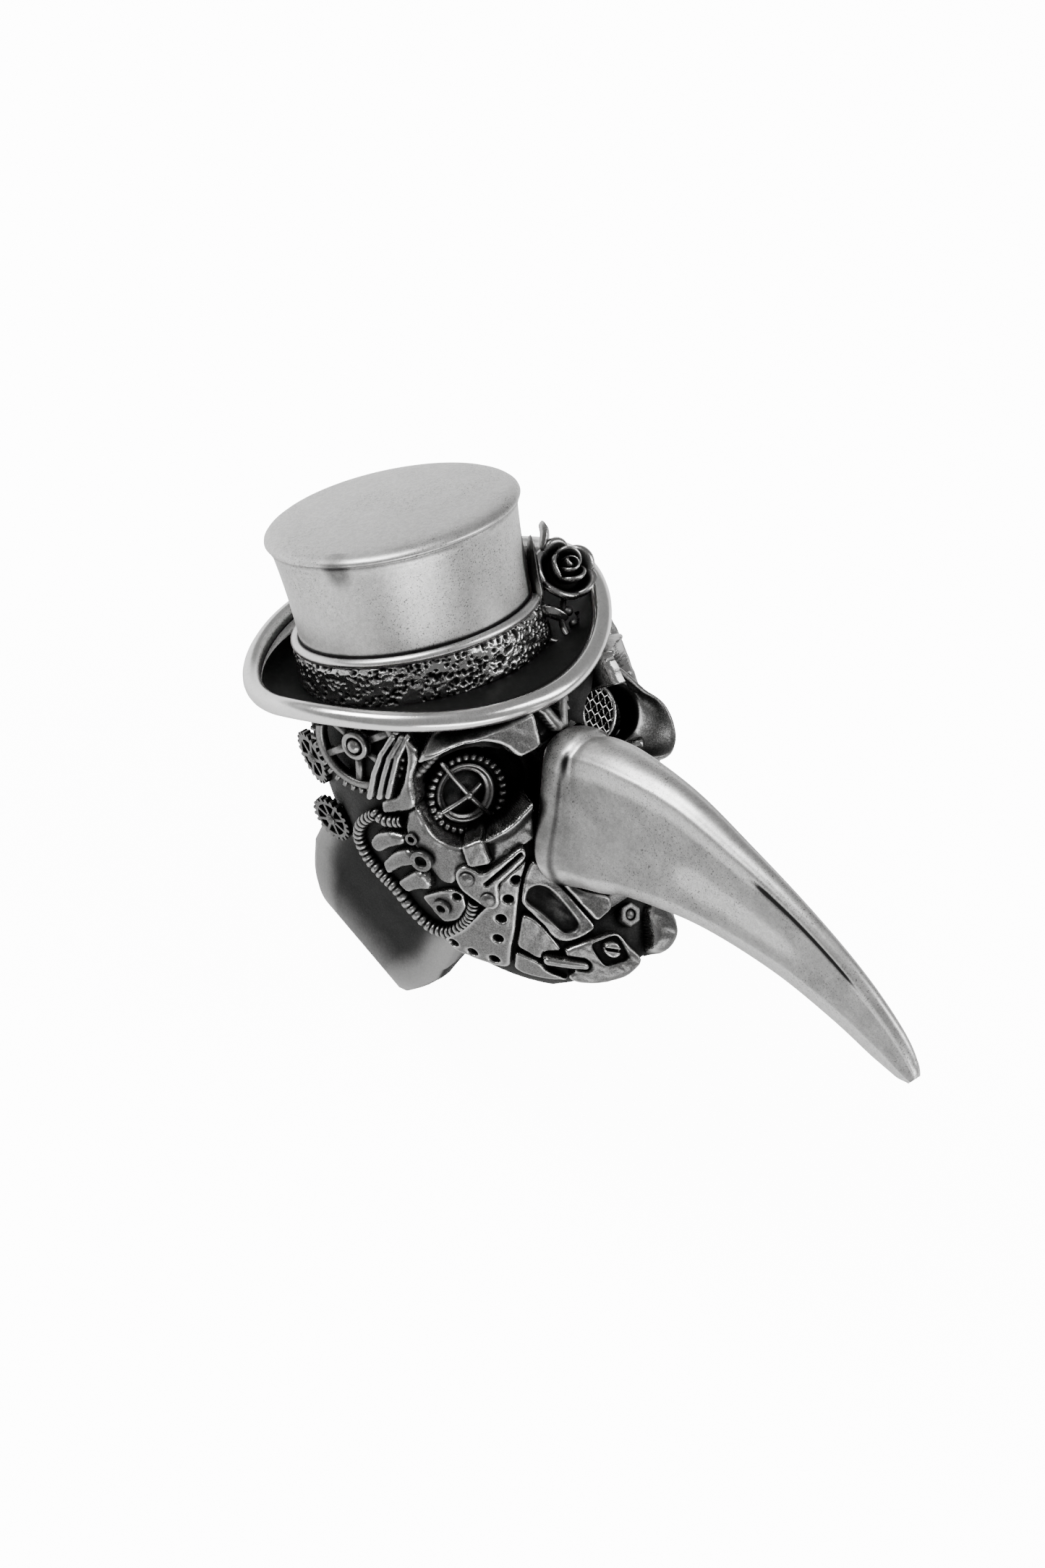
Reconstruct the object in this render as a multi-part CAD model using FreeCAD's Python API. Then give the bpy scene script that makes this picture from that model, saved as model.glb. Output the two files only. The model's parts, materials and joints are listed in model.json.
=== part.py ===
import FreeCAD, Part
import math
import os
from FreeCAD import Matrix, Placement, Rotation, Vector

os.makedirs("parts", exist_ok=True)

# Cast silver mask ring, in millimetres. In the row frame the finger lies along Y, the beak
# points to -Y and +Z stands up from the finger. The head is drawn in a face frame, with its
# origin at the middle of the hat brim, and every point there is (across, forward, up), with
# across growing towards the mask's own left.

# ---- driving dimensions -------------------------------------------------------------
BORE_R = 8.7
SHANK_WALL = 1.7
SHOULDER_WIDTH = 15.6
PALM_WIDTH = 7.0
SEAT_Z = 8.0

FACE_ORIGIN = Vector(0, 11.1, 21.1)
FACE_PITCH = -50.0

WALL = 1.4
SKULL_MID = -1.0
SKULL_POWER = 2.1
# up, half width, front, back
SKULL_STATIONS = (
    (0.4, 10.0, 9.0, -11.0),
    (-3.0, 11.4, 10.2, -12.2),
    (-7.0, 11.9, 10.9, -12.4),
    (-11.0, 12.0, 11.2, -12.4),
    (-15.0, 11.7, 11.0, -12.4),
    (-19.0, 11.1, 10.8, -12.4),
    (-23.0, 10.2, 11.1, -12.4),
    (-26.0, 8.9, 11.5, -12.4),
    (-28.2, 7.0, 11.3, -12.4),
)

EYE_ACROSS = 6.9
EYE_FORWARD = 6.3
EYE_UP = -10.4
EYE_TOE_OUT = 17.0
SOCKET_R = 4.5
SOCKET_NOSE_R = 3.5
SOCKET_NOSE_SHIFT = 2.4
COG_R = 3.25
GEAR_TOE_IN = 0.3

HAT_BASE = (-0.6, -2.7, -3.0)
HAT_AXIS = (0.098, 0.045, 0.994)
CROWN_BASE_R = 9.45
CROWN_TOP_R = 9.7
CROWN_HEIGHT = 12.8
CROWN_STRETCH = 1.05
CROWN_WALL = 1.3
BAND_HEIGHT = 3.7
BAND_R = 10.0
BRIM_HALF_WIDTH = 15.2
BRIM_FRONT_REACH = 15.6
BRIM_BACK_REACH = 12.9
BRIM_HOLE_R = 4.2
BRIM_PLATE = 0.9
BRIM_RIM_R = 0.8
BRIM_RIGHT_CURL = 2.2
BRIM_LEFT_CURL = 4.0
BRIM_FRONT_DIP = 0.7
BRIM_BACK_LIFT = 4.4
BEAK_WALL = 1.2

# forward, up, height, half width of the ridge, half width of the cheek line, height of the
# cheek line as a share of the section, width of the keel as a share; from face to tip
BEAK_STATIONS = (
    (8.6, -14.2, 12.4, 2.5, 3.3, -0.33, 0.74),
    (11.0, -14.5, 13.0, 2.5, 3.4, -0.33, 0.74),
    (14.0, -14.8, 13.1, 2.4, 3.3, -0.32, 0.72),
    (17.3, -15.2, 12.9, 2.2, 3.2, -0.31, 0.70),
    (22.5, -16.9, 11.9, 1.7, 2.9, -0.27, 0.66),
    (27.6, -19.8, 10.0, 1.3, 2.4, -0.22, 0.60),
    (33.0, -23.7, 8.5, 0.95, 1.8, -0.15, 0.50),
    (37.5, -27.9, 7.0, 0.8, 1.35, -0.08, 0.45),
    (40.6, -31.7, 5.3, 0.65, 1.0, -0.03, 0.45),
    (42.0, -34.0, 3.3, 0.5, 0.7, 0.0, 0.50),
    (42.5, -35.0, 1.6, 0.3, 0.4, 0.0, 0.50),
)
BEAK_TENON_END = 3
BEAK_HOLLOW_END = 5
FACE = Placement(FACE_ORIGIN, Rotation(Vector(1, 0, 0), FACE_PITCH))


# ---- points, seats and files ----------------------------------------------------------
def at(across, forward, up):
    """A point of the face frame."""
    return Vector(across, -forward, up)


def seat(point, outward, upward=Vector(0, 0, 1)):
    """A local frame on a surface: z leaves the surface, y climbs."""
    normal = Vector(outward).normalize()
    right = Vector(upward).cross(normal).normalize()
    return Placement(point, Rotation(right, normal.cross(right), normal, "ZXY"))


def placed(shape, place):
    moved = shape.copy()
    moved.Placement = place.multiply(moved.Placement)
    return moved


def mirrored(shape):
    """The same piece on the mask's right."""
    return shape.mirror(Vector(), Vector(1, 0, 0))


def both(pieces):
    """Pieces of the mask's left, with their twins on the right."""
    left = pieces if isinstance(pieces, list) else [pieces]
    return left + [mirrored(piece) for piece in left]


def save(name, shapes, place=FACE):
    """Write one node, as one solid or as a group of separate solids."""
    solids = []
    for shape in shapes if isinstance(shapes, list) else [shapes]:
        solids += placed(shape, place).Solids
    body = solids[0] if len(solids) == 1 else Part.makeCompound(solids)
    body.exportStep("parts/" + name + ".step")


# ---- basic shapes ---------------------------------------------------------------------
def spline_wire(points):
    curve = Part.BSplineCurve()
    curve.interpolate(points, PeriodicFlag=True)
    return Part.Wire(curve.toShape())


def disc(radius, low, high):
    return Part.makeCylinder(radius, high - low, Vector(0, 0, low))


def washer(outer, inner, low, high):
    return disc(outer, low, high).cut(disc(inner, low - 1, high + 1))


def slab(points, low, high):
    """A flat outline, given as (x, y) corners, made thick between two heights."""
    corners = [Vector(x, y, low) for x, y in points]
    face = Part.Face(Part.makePolygon(corners + corners[:1]))
    return face.extrude(Vector(0, 0, high - low))


def rounded_slab(length, width, low, high):
    """A bar with round ends, lying along x."""
    half = length / 2 - width / 2
    bar = Part.makeBox(2 * half, width, high - low, Vector(-half, -width / 2, low))
    ends = [Part.makeCylinder(width / 2, high - low, Vector(x, 0, low)) for x in (-half, half)]
    return bar.fuse(ends).removeSplitter()


def tube(points, radius):
    curve = Part.BSplineCurve()
    curve.interpolate(points)
    path = Part.Wire(curve.toShape())
    ring = Part.Wire(Part.makeCircle(radius, points[0], points[1] - points[0]))
    return path.makePipeShell([ring], True, True)


def ball(radius, point=Vector(0, 0, 0)):
    return Part.makeSphere(radius, point)


def rivet(radius, dome, shank):
    """A domed head on the surface, with a shank that goes down into the wall."""
    sphere_r = (radius * radius + dome * dome) / (2 * dome)
    head = ball(sphere_r, Vector(0, 0, dome - sphere_r)).common(disc(radius, 0, dome))
    return head.fuse(disc(radius * 0.55, -shank, 0.01))


def toothed_disc(tip_r, root_r, teeth, low, high):
    corners = []
    for tooth in range(teeth):
        for share, radius in ((0.05, root_r), (0.35, root_r), (0.5, tip_r), (0.85, tip_r)):
            turn = 2 * math.pi * (tooth + share) / teeth
            corners.append((radius * math.cos(turn), radius * math.sin(turn)))
    return slab(corners, low, high)


def spoked_gear(tip_r, root_r, teeth, rim_r, hub_r, spokes, spoke_width, thick):
    gear = toothed_disc(tip_r, root_r, teeth, 0, thick)
    windows = washer(rim_r, hub_r, -1, thick + 1)
    arms = []
    for index in range(spokes):
        half = spoke_width / 2
        arm = slab([(0, -half), (rim_r + 1, -half * 0.6), (rim_r + 1, half * 0.6), (0, half)],
                   -2, thick + 2)
        arms.append(placed(arm, Placement(Vector(), Rotation(Vector(0, 0, 1), 360 * index / spokes))))
    return gear.cut(windows.cut(arms))


# ---- the skull ------------------------------------------------------------------------
def skull_section(up, half_width, front, back, grow):
    """One level of the skull, as a superellipse with a longer back than front."""
    points = []
    for step in range(24):
        turn = 2 * math.pi * step / 24
        run = math.copysign(abs(math.cos(turn)) ** (2 / SKULL_POWER), math.cos(turn))
        rise = math.copysign(abs(math.sin(turn)) ** (2 / SKULL_POWER), math.sin(turn))
        reach = front + grow - SKULL_MID if rise > 0 else SKULL_MID - back + grow
        points.append(at((half_width + grow) * run, SKULL_MID + reach * rise, up))
    return spline_wire(points)


def skull(grow):
    return Part.makeLoft([skull_section(*row, grow) for row in SKULL_STATIONS], True, False)


SKULL = skull(0)
SKULL_SIDE = max(SKULL.Faces, key=lambda face: face.Area)
SHEETS = {}


def on_skull(across, forward, up, lift=0.0, upward=Vector(0, 0, 1)):
    """The seat on the skull's surface that is nearest to a point."""
    found = SKULL_SIDE.distToShape(Part.Vertex(at(across, forward, up)))
    point = found[1][0][0]
    normal = SKULL_SIDE.normalAt(*SKULL_SIDE.Surface.parameter(point))
    if normal.dot(point - at(0, SKULL_MID, up)) < 0:
        normal = normal * -1
    return seat(point + normal * lift, normal, upward)


def sheet(outline, place, rise):
    """A plate of even thickness that follows the skull, cut to an outline in a seat."""
    if rise not in SHEETS:
        SHEETS[rise] = skull(rise).cut(SKULL)
    return SHEETS[rise].common(placed(outline, place)).cut(BEAK_CLEARANCE)


def resting(shape, place):
    """A piece set down on the skull, with its back shaped to the surface."""
    return placed(shape, place).cut(SKULL)


def eye_seat(side, lift=0.0):
    turn = math.radians(EYE_TOE_OUT)
    outward = at(side * math.sin(turn), math.cos(turn), 0)
    return seat(at(side * EYE_ACROSS, EYE_FORWARD, EYE_UP) + outward * lift, outward)


def socket(low, high, side, shrink=0.0):
    """The eye socket's outline: round, with a smaller lobe that opens towards the beak."""
    lobe = disc(SOCKET_NOSE_R - shrink, low, high)
    lobe.translate(Vector(-side * SOCKET_NOSE_SHIFT, 0, 0))
    return disc(SOCKET_R - shrink, low, high).fuse(lobe).removeSplitter()


# ---- beak -----------------------------------------------------------------------------
def beak_direction(index):
    last = len(BEAK_STATIONS) - 1
    before = BEAK_STATIONS[max(index - 1, 0)]
    after = BEAK_STATIONS[min(index + 1, last)]
    return at(0, after[0] - before[0], after[1] - before[1]).normalize()


def beak_section(index, grow):
    """A rounded ridge on top, sloping cheeks, and a narrower keel below the cheek line."""
    forward, up, height, ridge, cheek, line, keel = BEAK_STATIONS[index]
    along = beak_direction(index)
    rise = along.cross(Vector(-1, 0, 0))
    centre = at(0, forward, up)
    tall = height + 2 * grow
    top = ridge + grow
    low = cheek + grow
    half = [(0.55 * top, 0.475), (0.97 * top, 0.40), ((top + low) / 2, 0.20 + line / 2),
            (low, line), (keel * low, -0.46)]
    ring = [(0, 0.5)] + half + [(0, -0.5)] + [(-x, y) for x, y in reversed(half)]
    return spline_wire([centre + Vector(x, 0, 0) + rise * y * tall for x, y in ring])


def beak_body(first, last, grow):
    return Part.makeLoft([beak_section(i, grow) for i in range(first, last)], True, False)


COLLAR_GROW = 0.65
BEAK_CLEARANCE = beak_body(0, BEAK_TENON_END + 1, COLLAR_GROW + 0.01)


# ---- pieces ---------------------------------------------------------------------------
def make_shank():
    """A band with a round bore, straight shoulders up to the head and a narrow palm side."""
    outer_r = BORE_R + SHANK_WALL
    round_part = Part.makeCylinder(outer_r, 20, Vector(0, -10, 0), Vector(0, 1, 0))
    shoulders = Part.makeBox(2 * outer_r, 20, SEAT_Z, Vector(-outer_r, -10, 0))
    bore = Part.makeCylinder(BORE_R, 40, Vector(0, -20, 0), Vector(0, 1, 0))
    half_palm = PALM_WIDTH / 2
    half_top = SHOULDER_WIDTH / 2
    outline = [Vector(-20, -half_palm, -outer_r), Vector(-20, half_palm, -outer_r),
               Vector(-20, half_top, 2), Vector(-20, half_top, SEAT_Z),
               Vector(-20, -half_top, SEAT_Z), Vector(-20, -half_top, 2)]
    side_view = Part.Face(Part.makePolygon(outline + outline[:1])).extrude(Vector(40, 0, 0))
    return round_part.fuse(shoulders).removeSplitter().common(side_view).cut(bore)


def make_head_shell(cavities):
    """The hollow casting, open to the finger below."""
    under = placed(Part.makeBox(80, 80, 40, Vector(-40, -40, SEAT_Z - 40)), FACE.inverse())
    finger = placed(Part.makeCylinder(BORE_R, 90, Vector(0, -45, 0), Vector(0, 1, 0)), FACE.inverse())
    inside = skull(-WALL).common(Part.makeBox(40, 40, 22, Vector(-20, -20, -24.5)))
    shell = SKULL.cut(inside)
    for cavity in [under, finger] + cavities:
        shell = shell.cut(cavity)
    return max(shell.Solids, key=lambda solid: solid.Volume)


def make_orbit():
    """The flared bone ring round the eye socket, standing out from cheek and temple."""
    profile = [(SOCKET_R, -4), (7.2, -4), (6.8, 0.6), (6.0, 2.0), (5.2, 2.5), (SOCKET_R, 2.1)]
    opening = placed(socket(-5, 5, 1), eye_seat(1))
    ring = placed(turned(profile), eye_seat(1, 0.3)).cut(SKULL).cut(opening).cut(BEAK_CLEARANCE)
    return max(ring.Solids, key=lambda solid: solid.Volume)


def make_brow():
    """The heavy ridge that overhangs the socket."""
    points = []
    for degrees in (25, 60, 95, 130, 160):
        turn = math.radians(degrees)
        point = Vector(5.0 * math.cos(turn), 4.6 * math.sin(turn), 3.6 - 1.2 * abs(math.cos(turn)))
        points.append(eye_seat(1).multVec(point))
    return tube(points, 0.75)


def make_eye_cup():
    """The dished floor of the socket."""
    cup = socket(-1.1, 0.1, 1).cut(socket(-0.5, 1, 1, 0.7))
    return placed(cup, eye_seat(1, -0.5)).cut(beak_body(0, BEAK_TENON_END, 0))


def make_cog():
    ring = toothed_disc(COG_R, 2.75, 28, 0, 0.9)
    return placed(ring.cut(disc(2.45, -1, 2)), eye_seat(-1, -0.9))


def make_dial():
    return placed(washer(2.28, 1.77, 0, 1.0), eye_seat(-1, -0.9))


def make_cross():
    arms = [ball(0.42, Vector(0, 0, 1.15)), ball(0.3, Vector(1.55, 0.85, 1.1))]
    for turn, reach in ((29, 2.6), (119, 2.3), (209, 2.3), (299, 2.5)):
        bar = Part.makeBox(reach, 0.34, 0.34, Vector(0, -0.17, 0.95))
        arms.append(placed(bar, Placement(Vector(), Rotation(Vector(0, 0, 1), turn))))
    strut = arms[0].fuse(arms[1:] + [disc(0.25, -0.1, 1.1)])
    return placed(strut, eye_seat(-1, -0.9))


def make_mesh_dome():
    """The domed wire gauze of the left eye, as a thin cap."""
    cap = ball(3.2, Vector(0, 0, -1.9)).cut(ball(3.0, Vector(0, 0, -1.9)))
    return placed(cap.common(disc(3, 0, 3)), eye_seat(1, -0.9))


def make_mesh_rim():
    return placed(Part.makeTorus(2.65, 0.25, Vector(0, 0, 0.15)), eye_seat(1, -0.9))


def make_eye_beads():
    beads = []
    for index in range(26):
        turn = 2 * math.pi * index / 26
        point = Vector(3.35 * math.cos(turn), 3.35 * math.sin(turn), 0.2)
        beads.append(placed(ball(0.34, point), eye_seat(1, -0.9)))
    return beads


def make_scroll():
    """A C-shaped scroll of wire under the left eye."""
    points = []
    for degrees in range(200, 381, 30):
        turn = math.radians(degrees)
        points.append(eye_seat(1, -0.4).multVec(Vector(3.9 * math.cos(turn), 3.9 * math.sin(turn), 0.6)))
    return tube(points, 0.28)


def make_eye_stud():
    return resting(rivet(0.55, 0.5, 1.0), on_skull(6.9, 9, -15.2, 0.1))


def make_bridge():
    """The block between the eyes, just under the brim."""
    outline = slab([(-1.9, -0.3), (1.9, -0.3), (2.5, 3.0), (-2.5, 3.0)], -3, 4)
    return sheet(outline, on_skull(0, 11, -6.9), 1.3)


def make_bridge_pins():
    return [placed(disc(0.55, -0.6, 1.7), on_skull(x, 11, -5.6, 0.6)) for x in (-1.2, 1.2)]


def make_fins():
    """Thin upright vanes in front of the temple gear."""
    vanes = []
    for index in range(4):
        vane = slab([(-0.28, -2.9), (0.28, -2.9), (0.28, 2.9), (-0.28, 2.9)], -0.2, 1.5 - 0.12 * index)
        forward = 2.6 + 1.15 * index
        vanes.append(resting(vane, on_skull(11.2, forward, -6.0, 0, at(0, 0.45, 1))))
    return vanes


def gear_seat(lift=0.0):
    return seat(at(11.9 + lift, 0.2, -4.7), at(1, GEAR_TOE_IN, 0.05))


def make_temple_gear():
    gear = spoked_gear(4.4, 3.95, 34, 3.3, 1.35, 6, 0.8, 0.9)
    return placed(gear.cut(disc(0.6, -1, 3)), gear_seat(0.25))


def make_gear_hub():
    """The arbor that carries the gear, with a raised ring and a domed cap."""
    arbor = disc(0.6, -1.6, 1.25).fuse([washer(1.2, 0.55, 1.15, 1.5), disc(0.8, 1.15, 1.35)])
    cap = ball(0.85, Vector(0, 0, 1.0)).common(disc(1, 1.2, 3))
    return placed(arbor.fuse(cap), gear_seat())


def small_gear_seat(lift=0.0):
    return seat(at(11.4 + lift, -6.0, -11.4), Vector(1, 0, -0.1))


def make_small_gear():
    gear = spoked_gear(2.0, 1.7, 20, 1.45, 0.55, 8, 0.28, 0.6)
    return placed(gear.fuse(rivet(0.45, 0.9, 1.4)), small_gear_seat())


def make_rear_gear():
    """A third wheel, behind the temple gear and under the brim."""
    gear = spoked_gear(2.3, 2.0, 22, 1.6, 0.6, 6, 0.4, 0.6)
    return placed(gear.fuse(rivet(0.5, 0.9, 1.4)), seat(at(10.9, -6.2, -6.2), Vector(1, 0.25, 0)))


def make_temple_beads():
    beads = []
    for index in range(6):
        place = on_skull(9.0, 7.6 - 0.5 * index, -5.4 - 0.3 * index, 0.25)
        beads.append(resting(ball(0.42), place))
    return beads


HOSE_PATH = ((12.2, -0.3, -10.1), (12.4, -2.8, -12.2), (12.3, -3.3, -14.5), (12.1, -1.3, -18.0),
             (11.5, 0.6, -20.9), (11.1, 2.6, -21.4), (10.6, 4.8, -20.2), (10.2, 5.8, -18.9))
ELBOW_PATH = ((12.1, -0.2, -9.3), (12.0, 1.2, -9.3), (11.8, 2.4, -10.0), (11.5, 3.4, -11.2))


def make_hose():
    return tube([at(a, f, u) for a, f, u in HOSE_PATH], 0.48).cut(SKULL)


def make_elbow():
    pipe = tube([at(a, f, u) for a, f, u in ELBOW_PATH], 0.55)
    collar = placed(washer(0.8, 0.3, -0.2, 0.5), seat(at(11.5, 3.4, -11.2), at(0, 0.6, -0.8)))
    return pipe.fuse(collar).cut(SKULL)


def make_cheek_ribs():
    """Three overlapping curved plates down the cheek."""
    plates = []
    for index in range(3):
        outline = rounded_slab(3.6 - 0.25 * index, 1.15, -2, 3)
        place = on_skull(11.4, 1.2 + 0.95 * index, -13.4 - 1.75 * index, 0, at(0, -0.75, 1))
        plates.append(sheet(outline, place, 0.75))
    return plates


def make_port(radius, across, forward, up):
    return resting(washer(radius, radius * 0.5, -0.5, 0.75), on_skull(across, forward, up))


def make_cheek_ring():
    """A ring plate with an eyelet, riveted under the rib plates."""
    outline = disc(1.35, -2, 3).fuse(rounded_slab(3.4, 1.3, -2, 3)).cut(disc(0.6, -3, 4))
    return sheet(outline, on_skull(10.9, 2.9, -18.6, 0, at(0, 0.5, 1)), 0.8)


def make_hinge_bracket():
    """A slotted arm from the cheek towards the beak."""
    arm = rounded_slab(6.2, 2.0, -2, 3).cut(rounded_slab(3.6, 0.6, -3, 4))
    tilt = Placement(Vector(1.7, -1.2, 0), Rotation(Vector(0, 0, 1), -40))
    lower = placed(rounded_slab(3.4, 1.5, -2, 3), tilt)
    return sheet(arm.fuse(lower), on_skull(7.6, 7.9, -16.6), 0.7)


def make_bracket_rivets():
    places = ((9.5, 6.1, -16.7), (8.6, 7.0, -18.7))
    return [placed(rivet(0.8, 0.65, 1.9), on_skull(*place, 0.7)) for place in places]


def jaw_seat():
    return on_skull(9.0, 5.6, -22.6)


JAW_HOLES = ((-1.9, 2.0), (-1.9, 0.7), (-1.9, -0.6), (-1.9, -1.9), (-0.3, -2.3), (1.3, -2.0), (2.7, -1.5))


def make_jaw_plate():
    """A thick flat plate at the corner of the jaw, with a row of holes along its edge."""
    corners = [(-2.9, 3.0), (2.2, 1.5), (3.8, -0.7), (2.4, -2.9), (-2.7, -3.2)]
    plate = slab([(-x, y) for x, y in corners], -2, 3)
    holes = [Part.makeCylinder(0.36, 8, Vector(-x, y, -4)) for x, y in JAW_HOLES]
    return sheet(plate.cut(holes), jaw_seat(), 0.75)


def make_window_plate():
    """A window frame on the front of the chin."""
    frame = rounded_slab(5.2, 4.2, -2, 3).cut(rounded_slab(3.6, 2.4, -3, 4))
    bar = Part.makeBox(0.45, 4, 5, Vector(-0.22, -2, -2))
    return sheet(frame.fuse(bar), on_skull(4.9, 9.7, -21.6), 0.7)


def make_chin_strap():
    outline = slab([(-1.8, -0.5), (1.8, -0.5), (1.5, 0.5), (-1.5, 0.5)], -3, 3)
    return sheet(outline, on_skull(0, 11, -22.6), 0.7)


def make_chin_link():
    return sheet(rounded_slab(3.5, 1.0, -2, 3), on_skull(4.7, 9.8, -25.4, 0, at(0.18, 0, 1)), 0.7)


def make_screw_plate():
    return sheet(disc(1.25, -2, 3), on_skull(2.0, 11.2, -25.9), 0.45)


def make_screw():
    head = rivet(0.8, 0.4, 1.9).cut(Part.makeBox(2, 0.24, 1, Vector(-1, -0.12, 0.12)))
    return placed(head, on_skull(2.0, 11.2, -25.9, 0.45))


def make_nut():
    corners = [(math.cos(math.radians(60 * i)), math.sin(math.radians(60 * i))) for i in range(6)]
    return resting(slab(corners, -0.5, 0.8).cut(disc(0.45, -2, 3)), on_skull(0, 11, -24.4))


def make_nut_stud():
    return placed(rivet(0.45, 0.3, 2.2), on_skull(0, 11, -24.4, 0.55))


def make_chin_wedge():
    outline = slab([(-1.0, -0.9), (1.0, -0.7), (0.8, 0.8), (-0.8, 0.8)], -2, 3)
    return sheet(outline, on_skull(2.2, 10.9, -24.3), 0.6)


def make_beak():
    """The beak, hollow behind, with its open end inside the skull as a tenon."""
    return beak_body(0, len(BEAK_STATIONS), 0).cut(beak_body(0, BEAK_HOLLOW_END, -BEAK_WALL))


def make_collar():
    """The raised band where the beak leaves the face."""
    front = Part.makeBox(40, 40, 60, Vector(-20, -13.2 - 40, -45))
    tenon = beak_body(0, BEAK_TENON_END, 0)
    return beak_body(0, BEAK_TENON_END, COLLAR_GROW).cut(front).cut(tenon).cut(SKULL)


# ---- hat ------------------------------------------------------------------------------
HAT = Placement(at(*HAT_BASE), Rotation(Vector(1, 0, 0), Vector(0, 1, 0), at(*HAT_AXIS), "ZXY"))


def oval(shape):
    """Stretch a turned shape from front to back."""
    matrix = Matrix()
    matrix.scale(1, CROWN_STRETCH, 1)
    return shape.transformGeometry(matrix)


def turned(profile):
    """Revolve a closed (radius, height) outline about the hat's axis."""
    corners = [Vector(r, 0, z) for r, z in profile]
    return Part.Face(Part.makePolygon(corners + corners[:1])).revolve(Vector(), Vector(0, 0, 1), 360)


def make_crown():
    """The crown, slightly flared, with a low dome on top and a peg that enters the head."""
    top = CROWN_HEIGHT
    profile = [(0, 0.45), (CROWN_BASE_R, 0.45), (CROWN_BASE_R - 0.2, 5), (CROWN_TOP_R - 0.2, top - 1.8),
               (CROWN_TOP_R, top - 0.8), (CROWN_TOP_R - 0.3, top - 0.2), (CROWN_TOP_R - 1.0, top),
               (5, top + 0.4), (0, top + 0.55)]
    inner_r = CROWN_BASE_R - CROWN_WALL
    hollow = [(0, 0.5), (inner_r, 1.6), (inner_r, top - 1.6), (0, top - 1.0)]
    peg = disc(BRIM_HOLE_R - 0.05, -2.2, 0.6)
    return oval(turned(profile)).fuse(peg).cut(oval(turned(hollow))).cut(disc(2.6, -3, 2))


def make_band():
    inner_r = CROWN_BASE_R - 0.4
    profile = [(inner_r, 0.45), (BAND_R, 0.45), (BAND_R - 0.15, BAND_HEIGHT), (inner_r, BAND_HEIGHT)]
    return oval(turned(profile)).cut(CROWN)


def make_bead():
    bead = Part.makeTorus(CROWN_BASE_R + 0.15, 0.42, Vector(0, 0, BAND_HEIGHT + 0.4))
    return oval(bead).cut(CROWN)


def brim_reach(turn):
    """The brim's outline; it is shorter behind, where it clears the finger."""
    length = BRIM_BACK_REACH if math.sin(turn) > 0 else BRIM_FRONT_REACH
    return 1 / math.hypot(math.cos(turn) / BRIM_HALF_WIDTH, math.sin(turn) / length)


def brim_lift(turn):
    """Height of the rim: up at both sides and behind, down in front."""
    side = BRIM_LEFT_CURL if math.cos(turn) > 0 else BRIM_RIGHT_CURL
    end = BRIM_BACK_LIFT if math.sin(turn) > 0 else -BRIM_FRONT_DIP
    return side * math.cos(turn) ** 2 + end * math.sin(turn) ** 2


def brim_section(turn):
    """A thin plate that leaves the crown flat and ends in a rolled rim."""
    reach = brim_reach(turn)
    lift = brim_lift(turn)
    half = BRIM_PLATE / 2
    root = BAND_R * math.hypot(math.cos(turn), CROWN_STRETCH * math.sin(turn))
    middle = (reach + root) / 2
    rim = BRIM_RIM_R
    upper = [(root, half), (middle, lift * 0.3 + half), (reach - 1.3, lift * 0.78 + half)]
    edge = [(reach - 0.7, lift + rim), (reach - 0.15, lift + 0.55), (reach, lift),
            (reach - 0.15, lift - 0.55), (reach - 0.7, lift - rim)]
    lower = [(reach - 1.3, lift * 0.78 - half), (middle, lift * 0.3 - half), (root, -half)]
    profile = [(BRIM_HOLE_R, -half), (BRIM_HOLE_R, half)] + upper + edge + lower
    corners = [Vector(r * math.cos(turn), r * math.sin(turn), z) for r, z in profile]
    return Part.makePolygon(corners + corners[:1])


def make_brim():
    sections = [brim_section(2 * math.pi * step / 24) for step in range(24)]
    return Part.makeLoft(sections, True, False, True)


def under_hat(shape):
    """Trim a piece of the face where the brim covers it."""
    crown = placed(disc(BAND_R, -BRIM_PLATE / 2, 20), HAT)
    trimmed = shape.cut(placed(BRIM, HAT)).cut(crown)
    return max(trimmed.Solids, key=lambda solid: solid.Volume)


ROSE = seat(at(10.6, 6.0, 4.4), at(0, 0.8, 0.6))


def make_petal(turn, radius, offset, tilt):
    """A cupped round petal, cut from a thin spherical shell."""
    bowl = ball(radius).cut(ball(radius - 0.3)).common(Part.makeCylinder(radius * 0.8, 9))
    place = Placement(Vector(offset, 0, -radius + 0.9), Rotation(Vector(0, 1, 0), tilt))
    return placed(placed(bowl, place), Placement(Vector(), Rotation(Vector(0, 0, 1), turn)))


def make_outer_petals():
    return [placed(make_petal(72 * i, 2.2, 1.2, 42), ROSE) for i in range(5)]


def make_inner_petals():
    raised = ROSE.multiply(Placement(Vector(0, 0, 0.7), Rotation()))
    return [placed(make_petal(120 * i + 30, 1.5, 0.5, 60), raised) for i in range(3)]


def make_bud():
    return placed(ball(0.85, Vector(0, 0, 1.0)).fuse(disc(0.45, -1.2, 1.0)), ROSE)


def make_leaf(x, y, turn):
    """A pointed leaf lying behind the bloom."""
    arcs = [Part.makeCylinder(2.6, 0.4, Vector(0, shift, 0)) for shift in (1.9, -1.9)]
    blade = arcs[0].common(arcs[1])
    place = Placement(Vector(x, y, -0.6), Rotation(Vector(0, 0, 1), turn))
    return placed(blade, ROSE.multiply(place))


def make_leaves():
    return [make_leaf(-1.9, 2.6, 130), make_leaf(-0.2, 3.4, 80), make_leaf(0.6, -3.3, 10)]


def make_stem():
    points = ((0, -1.4, -0.9), (0.7, -3.4, -1.0), (0.9, -5.0, -0.9), (1.7, -5.9, -0.5))
    return placed(tube([Vector(*point) for point in points], 0.35), ROSE)


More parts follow.
